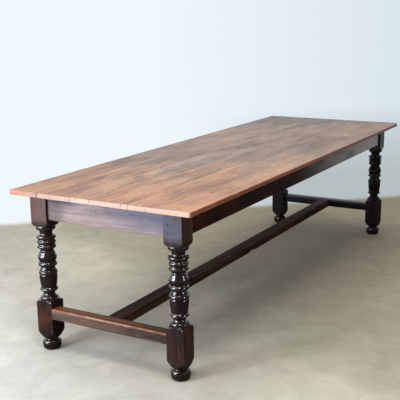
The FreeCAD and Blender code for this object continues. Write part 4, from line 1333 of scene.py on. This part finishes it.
    def stand_legs(self, bench: WearTree) -> None:
        """Turn the legs and stand them up.

        Args:
            bench: The tree that wears the arrises.
        """
        legs = (("leg_front_left", self.NEAR), ("leg_front_right", self.SHADED_BLACK),
                ("leg_back_right", self.SHADED_BLACK), ("leg_back_left", self.NEAR_LEFT))
        for number, (node, tint) in enumerate(legs):
            polish = self.TURNED | ({"coat": 0.0, "specular": 0.35} if tint is self.SHADED_BLACK
                                    else {})
            seed = 0.7 + 1.9 * number
            Leg(node=node, slot=self.slot, finish=self.finish(node, Grain.UPRIGHT, seed, tint),
                polish=self.finish(f"{node}_turned", Grain.UPRIGHT, seed, tint | polish),
                wear=Wear(depth=0.9 * MM, patch=0.05, flat=0.2 * MM,
                          seed=10.0 + number)).build(bench)

    def fit_aprons(self, bench: WearTree) -> None:
        """Saw and tenon the aprons.

        Args:
            bench: The tree that wears the arrises.
        """
        aprons = (("apron_front", Grain.LENGTHWISE, self.FRONT_PAINTED_SHEEN),
                  ("apron_back", Grain.LENGTHWISE, self.SIDE),
                  ("apron_left_end", Grain.CROSSWISE, self.HAZE_AND_SHEEN),
                  ("apron_right_end", Grain.CROSSWISE, self.SIDE))
        for number, (node, grain, tint) in enumerate(aprons):
            Bar(node=node, slot=self.slot,
                finish=self.finish(node, grain, 3.1 + 1.3 * number, tint),
                wear=Wear(depth=0.7 * MM, seed=20.0 + number),
                tenon=44 * MM, tenon_size=(10 * MM, 98 * MM)).build(bench)

    def fit_rails(self, bench: WearTree) -> None:
        """Saw and tenon the two end rails and the long rail with its old chip.

        Args:
            bench: The tree that wears the arrises.
        """
        rails = (("stretcher_left_end", 0.85, self.TRODDEN),
                 ("stretcher_right_end", 0.5, self.SHADED_BLACK))
        for number, (node, rub, tint) in enumerate(rails):
            Bar(node=node, slot=self.rail_slot,
                finish=self.finish(node, Grain.CROSSWISE, 5.2 + 1.7 * number, tint),
                wear=Wear(depth=1.6 * MM, patch=0.08, flat=0.3 * MM, seed=30.0 + number),
                radii=(1.6 * MM, 3 * MM, 3 * MM, 1.6 * MM), rub_top=rub,
                tenon=41 * MM, tenon_size=(20 * MM, 32 * MM)).build(bench)
        Bar(node="stretcher_long", slot=self.rail_slot,
            finish=self.finish("stretcher_long", Grain.LENGTHWISE, 8.4, self.DULL),
            wear=Wear(depth=1.6 * MM, patch=0.1, flat=0.3 * MM, seed=40.0),
            radii=(1.6 * MM, 2.6 * MM, 2.6 * MM, 1.6 * MM), rub_top=0.5,
            tenon=36 * MM, tenon_size=(40 * MM, 24 * MM),
            chip=(19 * MM, 85 * MM)).build(bench)


@dataclass
class Fixings:
    """The pegs, and the CAD pieces that keep their shape: bearers, tongues, buttons, screws."""

    peg_inset: float = 22 * MM
    tenon_shoulder: float = 8 * MM
    peg_shares: Pair = (0.52, 0.13)
    apron_peg_lengths: Pair = (34 * MM, 38 * MM)
    rail_peg_lengths: Pair = (40 * MM, 36 * MM)
    stagger: float = 12 * MM
    post_half: float = 44.5 * MM
    rail_set_back: float = 1.5 * MM
    long_peg_inset: float = 18 * MM

    # Pegs show sawn oak end grain, nearly black and dull
    PEG: Looks = {
        "grain": Grain.LENGTHWISE, "dark": "#120C0A", "middle": "#1C1310", "pale": "#2A1E1A",
        "worn_and_sheen": "#2A1E1A", "grime_and_shade": "#0A0504", "rubbed": "#2A1E1A", "roughness": (0.5, 0.7),
        "specular": 0.2}
    # Sawn oak that was never stained, under the top: pale brown and dry
    RAW: Looks = {
        "dark": "#5A4028", "middle": "#7C5C3E", "pale": "#9A7A56", "worn_and_sheen": "#A88A66",
        "grime_and_shade": "#3A2818", "rubbed": "#9A7A56", "roughness": (0.6, 0.8), "specular": 0.3}

    def spots(self, heights: list[float], outer: float,
              along_x: bool) -> list[tuple[Vector, Vector]]:
        """Return where one kind of peg enters the four legs, and which way its head faces.

        Args:
            heights: The pegs' heights.
            outer: Leg's axis to the face that the head stands in.
            along_x: True for pegs that run along the table.

        Returns:
            Each head's place and outward direction.
        """
        inset = self.post_half - self.peg_inset
        found = []
        for corner in ("front_left", "front_right", "back_right", "back_left"):
            low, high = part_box(f"leg_{corner}")
            axis = (low + high) / 2
            side = Vector((math.copysign(1, axis.x), math.copysign(1, axis.y), 0))
            shift, way = ((outer, -inset), (side.x, 0, 0)) if along_x else (
                (-inset, outer), (0, side.y, 0))
            for height in heights:
                place = Vector((axis.x + side.x * shift[0], axis.y + side.y * shift[1], height))
                found.append((place, Vector(way)))
        return found

    def drive_pegs(self) -> None:
        """Drive the four kinds of pegs. Those of the end aprons carry painted sheen on their ends
        that face -X.
        """
        black = WoodFinish(name="oak_peg_end_grain", **self.PEG).build()
        # The end apron pegs' ends facing -X get painted sheen
        sheen_painted_pegs = WoodFinish(name="oak_peg_end_grain_painted_sheen", painted_light="#4C4044", painted_light_amount=0.75,
                           painted_light_reach=(-9.0, -8.0), **self.PEG).build()
        low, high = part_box("apron_left_end")
        tenon = high.z - low.z - 2 * self.tenon_shoulder
        heights = [low.z + self.tenon_shoulder + tenon * share for share in self.peg_shares]
        low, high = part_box("stretcher_left_end")
        middle, top = (low.z + high.z) / 2, high.z
        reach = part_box("stretcher_long")[1].x - self.long_peg_inset
        sets = (
            PegSet("end_apron_pegs", self.spots(heights, self.post_half, True),
                   self.apron_peg_lengths[0], seed=1),
            PegSet("side_apron_pegs", self.spots(
                [height + self.stagger for height in heights], self.post_half, False),
                self.apron_peg_lengths[1], seed=2),
            PegSet("stretcher_pegs", self.spots(
                [middle], self.post_half - self.rail_set_back, True),
                self.rail_peg_lengths[0], seed=3),
            PegSet("long_stretcher_pegs", [
                (Vector((side * reach, 0, top)), Vector((0, 0, 1))) for side in (-1, 1)],
                self.rail_peg_lengths[1], seed=4))
        bench = PegTree()
        for pegs in sets:
            pegs.build(bench, sheen_painted_pegs if pegs.node == "end_apron_pegs" else black)

    def build(self) -> None:
        """Drive the pegs and dress the pieces under the top."""
        self.drive_pegs()
        across = WoodFinish(name="unpolished_oak_across", grain=Grain.CROSSWISE, seed=2.2,
                            **self.RAW).build()
        along = WoodFinish(name="unpolished_oak_along", grain=Grain.LENGTHWISE, seed=4.8,
                           **self.RAW).build()
        groups = ((across, ("bearer_left", "bearer_middle", "bearer_right")),
                  (along, ("top_tongue_1", "top_tongue_2", "top_tongue_3", "top_tongue_4",
                           "top_buttons")),
                  (SteelFinish().build(), ("button_screws", "bearer_screws")))
        for material, nodes in groups:
            for node in nodes:
                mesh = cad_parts[node].data
                mesh.materials.clear()
                mesh.materials.append(material)
                LOG.info("%s: dressed as %s", node, material.name)


@dataclass(frozen=True)
class Lamp:
    """A soft rectangular studio light."""

    name: str
    place: Triple
    aim: Triple
    size: Pair
    watts: float
    colour: str

    def build(self) -> None:
        """Hang the lamp."""
        data = bpy.data.lights.new(self.name, "AREA")
        data.shape = "RECTANGLE"
        data.size, data.size_y = self.size
        data.energy = self.watts
        data.color = linear(self.colour)[:3]
        lamp = new_object(self.name, data)
        way = Vector(self.aim) - Vector(self.place)
        lamp.rotation_euler = way.to_track_quat("-Z", "Y").to_euler()
        lamp.location = self.place
        lamp.visible_camera = False


@dataclass
class Studio:
    """The pale floor and background, the soft lamps and the camera."""

    # The floor's tones are painted light: brighter towards the near left, with painted shade to
    # the right.
    # They run along floor_way, to the near left, over floor_span. It turns into the pale
    # background over floor_end, as metres from the table's middle, and over cove, as metres along
    # behind_way.
    floor_reach: float = 9.0
    floor_way: Triple = (-0.8025, 0.405, 0.0)
    floor_span: Pair = (-1.7, 1.5)
    floor_cloud: float = 0.7
    floor_tones: Stops = (
        (0.22, "#ACA38C"), (0.53, "#AEA893"), (0.61, "#B8B5A0"), (0.69, "#D0CCB9"),
        (0.81, "#CBC9BA"), (0.89, "#D4D4C9"), (0.97, "#DEDED6"))
    floor_mirrored: float = 0.08
    floor_end: Pair = (4.5, 8.0)
    behind_way: Triple = (0.72, 0.69, 0.0)
    cove: Pair = (1.58, 1.74)
    backdrop: str = "#F0F7FD"
    backdrop_far: str = "#DAE6ED"
    backdrop_shade: str = "#B6BFC1"
    backdrop_way: Triple = (0.5, -0.866, 0.0)
    dusk_aside: Pair = (0.0, 0.12)
    dusk_behind: Pair = (7.5, 2.6)
    far_aside: Pair = (-0.05, 0.24)
    world_colour: str = "#F2F4F8"
    world_strength: float = 0.42
    # What polish mirrors of the background: bright towards bright_way, dim away from it
    bright_way: Triple = (0.6, 0.8, 0.0)
    bright_turn: Pair = (-0.2, 0.5)
    mirrored_strength: Pair = (0.1, 0.9)
    camera_place: Triple = (-3.99927, -2.01351, 1.52823)
    yaw: float = -1.04935
    pitch: float = 0.231739
    roll: float = -0.0130254
    focal_pixels: float = 812.843
    picture_pixels: int = 400
    lamps: tuple[Lamp, ...] = (
        Lamp("left_window", (-4.5, 2.6, 1.1), (-1.3, 0.0, 0.9), (2.2, 2.1), 110.0, "#E6EFFF"),
        Lamp("tall_pane", (-3.5, 0.85, 1.2), (-1.3, 0.0, 0.6), (0.3, 0.9), 32.0, "#F2F6FF"),
        Lamp("right_pane", (-1.1, -3.8, 1.3), (-1.2, -0.3, 0.5), (0.2, 0.7), 22.0, "#F4F4FF"),
        Lamp("near_ceiling", (-2.6, 0.8, 3.2), (-1.8, -0.1, 0.0), (1.8, 1.4), 20.0, "#FFF6EC"),
        Lamp("far_ceiling", (0.8, 0.4, 3.3), (0.6, 0.2, 0.0), (1.8, 1.4), 36.0, "#FFF6EC"),
        Lamp("roof_strip", (-2.1, -0.85, 3.4), (-1.5, -0.3, 0.0), (0.3, 1.0), 28.0, "#FFF8F0"))

    def build(self) -> None:
        """Set up the studio."""
        self.lay_floor()
        self.light_world()
        for lamp in self.lamps:
            lamp.build()
        self.set_camera()

    def lay_floor(self) -> None:
        """Lay a pale floor that fades into the background away from the table."""
        reach = self.floor_reach
        mesh = bpy.data.meshes.new("floor")
        mesh.from_pydata([(-reach, -reach, 0), (reach, -reach, 0), (reach, reach, 0),
                          (-reach, reach, 0)], [], [(0, 1, 2, 3)])
        floor = new_object("floor", mesh)
        material, tree = new_material("pale_floor")
        place = add_node(tree, "ShaderNodeTexCoord", out="Object")
        seen, rays = self.background_rays(tree)
        # Polish mirrors the floor dimly, as the lamps' own gleams should stand out on it
        mirrored = add_node(tree, "ShaderNodeMath", {
            0: rays["Is Glossy Ray"], 1: 1 - self.floor_mirrored}, operation="MULTIPLY")
        light = add_node(tree, "ShaderNodeMix", {
            0: mirrored, 6: self.floor_colour(tree, place), 7: (0.0, 0.0, 0.0, 1.0)}, 2,
            data_type="RGBA")
        paint = add_node(tree, "ShaderNodeBsdfPrincipled", {
            "Base Color": light, "Roughness": 0.7, "Specular IOR Level": 0.2})
        behind = add_node(tree, "ShaderNodeVectorMath", {0: place, 1: self.behind_way}, "Value",
                          operation="DOT_PRODUCT")
        shine = add_node(tree, "ShaderNodeEmission", {
            "Color": self.floor_glow(tree, place, behind), "Strength": 1.0})
        away = add_node(tree, "ShaderNodeVectorMath", {0: place}, "Value", operation="LENGTH")
        far = add_node(tree, "ShaderNodeMapRange", {
            "Value": away, "From Min": self.floor_end[0], "From Max": self.floor_end[1]},
            interpolation_type="SMOOTHSTEP")
        cove = add_node(tree, "ShaderNodeMapRange", {
            "Value": behind, "From Min": self.cove[0], "From Max": self.cove[1]},
            interpolation_type="SMOOTHSTEP")
        fade = add_node(tree, "ShaderNodeMath", {0: far, 1: cove}, operation="MAXIMUM")
        amount = add_node(tree, "ShaderNodeMath", {0: fade, 1: seen}, operation="MULTIPLY")
        mixed = add_node(tree, "ShaderNodeMixShader", {0: amount, 1: paint, 2: shine})
        add_node(tree, "ShaderNodeOutputMaterial", {0: mixed})
        mesh.materials.append(material)

    def floor_colour(self, tree: Tree, place: Socket) -> Socket:
        """Colour the floor as trowelled, burnished cement: pale, matt, clouded and scuffed, with
        painted light brighter to the near left and painted shade to the right.

        Args:
            tree: The floor's tree.
            place: The place on the floor.

        Returns:
            The floor's colour.
        """
        cloud = clouds(tree, place, 2.4, 9.0, Roughness=0.62, Distortion=0.4)
        drift = add_node(tree, "ShaderNodeVectorMath", {0: place, 1: self.floor_way}, "Value",
                         operation="DOT_PRODUCT")
        drift = add_node(tree, "ShaderNodeMath", {0: cloud, 1: self.floor_cloud, 2: drift},
                         operation="MULTIPLY_ADD")
        drift = add_node(tree, "ShaderNodeMapRange", {
            "Value": drift, "From Min": self.floor_cloud / 2 + self.floor_span[0],
            "From Max": self.floor_cloud / 2 + self.floor_span[1]})
        # The ramp carries painted light and the table's painted shade on the floor
        tones = set_ramp(add_node(tree, "ShaderNodeValToRGB", {0: drift}), self.floor_tones)
        scuffs = clouds(tree, place, 7.0, 8.0, (0.3, 0.7), (0.86, 1.12), Roughness=0.7,
                        Distortion=0.6)
        return add_node(tree, "ShaderNodeVectorMath", {0: tones, 3: scuffs}, operation="SCALE")

    def floor_glow(self, tree: Tree, place: Socket, behind: Socket) -> Socket:
        """Colour the background where the floor turns into it, darker low at its right.

        The tone is fixed in the room: it fans out from the spot of the main camera.

        Args:
            tree: The floor's tree.
            place: The place on the floor.
            behind: How far behind the table it lies.

        Returns:
            The background's colour there.
        """
        way = add_node(tree, "ShaderNodeVectorMath", {
            0: place, 1: (*self.camera_place[:2], 0.0)}, operation="SUBTRACT")
        way = add_node(tree, "ShaderNodeVectorMath", {0: way}, operation="NORMALIZE")
        aside = add_node(tree, "ShaderNodeVectorMath", {0: way, 1: self.backdrop_way}, "Value",
                         operation="DOT_PRODUCT")
        dusk = 1.0
        for value, (start, full) in ((aside, self.dusk_aside), (behind, self.dusk_behind)):
            share = add_node(tree, "ShaderNodeMapRange", {
                "Value": value, "From Min": start, "From Max": full})
            dusk = add_node(tree, "ShaderNodeMath", {0: share, 1: dusk}, operation="MULTIPLY")
        return add_node(tree, "ShaderNodeMix", {
            0: dusk, 6: self.backdrop_tone(tree, way), 7: linear(self.backdrop_shade)}, 2,
            data_type="RGBA")

    def backdrop_tone(self, tree: Tree, way: Socket) -> Socket:
        """Mix the background's colour, which dims a little towards its far right end.

        Args:
            tree: The tree of the floor or of the world.
            way: The direction in which the background lies.

        Returns:
            The colour in that direction.
        """
        aside = add_node(tree, "ShaderNodeVectorMath", {0: way, 1: self.backdrop_way}, "Value",
                         operation="DOT_PRODUCT")
        far = add_node(tree, "ShaderNodeMapRange", {
            "Value": aside, "From Min": self.far_aside[0], "From Max": self.far_aside[1]})
        return add_node(tree, "ShaderNodeMix", {
            0: far, 6: linear(self.backdrop), 7: linear(self.backdrop_far)}, 2,
            data_type="RGBA")

    def background_rays(self, tree: Tree) -> tuple[Socket, bpy.types.NodeOutputs]:
        """Find the rays that see the background: the camera's, and those of metal and glass.

        Args:
            tree: The tree of the floor or of the world.

        Returns:
            1 for such rays and 0 for others, and the light path's outputs.
        """
        rays = add_node(tree, "ShaderNodeLightPath").node.outputs
        seen = rays["Is Camera Ray"]
        for kind in ("Is Glossy Ray", "Is Transmission Ray"):
            seen = add_node(tree, "ShaderNodeMath", {0: seen, 1: rays[kind]},
                            operation="MAXIMUM")
        return seen, rays

    def light_world(self) -> None:
        """Light the scene evenly, and show the pale background where it is seen."""
        world = bpy.data.worlds.new("studio")
        bpy.context.scene.world = world
        world.use_nodes = True
        tree = world.node_tree
        tree.nodes.clear()
        seen, rays = self.background_rays(tree)
        glow = add_node(tree, "ShaderNodeBackground", {
            0: linear(self.world_colour), 1: self.world_strength})
        way = add_node(tree, "ShaderNodeTexCoord", out="Generated")
        toward = add_node(tree, "ShaderNodeVectorMath", {0: way, 1: self.bright_way}, "Value",
                          operation="DOT_PRODUCT")
        dim = add_node(tree, "ShaderNodeMapRange", {
            "Value": toward, "From Min": self.bright_turn[0], "From Max": self.bright_turn[1],
            "To Min": self.mirrored_strength[0], "To Max": self.mirrored_strength[1]})
        plain = add_node(tree, "ShaderNodeMath", {0: dim, 1: rays["Is Camera Ray"]},
                         operation="MAXIMUM")
        pale = add_node(tree, "ShaderNodeBackground", {
            0: self.backdrop_tone(tree, way), 1: plain})
        mixed = add_node(tree, "ShaderNodeMixShader", {0: seen, 1: glow, 2: pale})
        add_node(tree, "ShaderNodeOutputWorld", {0: mixed})
        bpy.context.scene.view_settings.view_transform = "Standard"

    def set_camera(self) -> None:
        """Stand the camera where the photograph was taken."""
        data = bpy.data.cameras.new("camera")
        data.sensor_width = 36.0
        data.lens = self.focal_pixels / self.picture_pixels * data.sensor_width
        back = Vector((math.sin(self.yaw) * math.cos(self.pitch),
                       -math.cos(self.yaw) * math.cos(self.pitch), math.sin(self.pitch)))
        right = (-back).cross(Vector((0, 0, 1))).normalized()
        up = right.cross(-back)
        turn, lean = math.cos(self.roll), math.sin(self.roll)
        matrix = Matrix((right * turn + up * lean, up * turn - right * lean,
                         back)).transposed().to_4x4()
        matrix.translation = self.camera_place
        camera = new_object("camera", data)
        camera.matrix_world = matrix
        bpy.context.scene.camera = camera


def main() -> None:
    """Build the table and its studio."""
    logging.basicConfig(level=logging.INFO, format="%(name)s: %(message)s")
    bench = WearTree()
    Top().build(bench)
    Base().build(bench)
    Fixings().build()
    Studio().build()


if __name__ == "__main__":
    main()
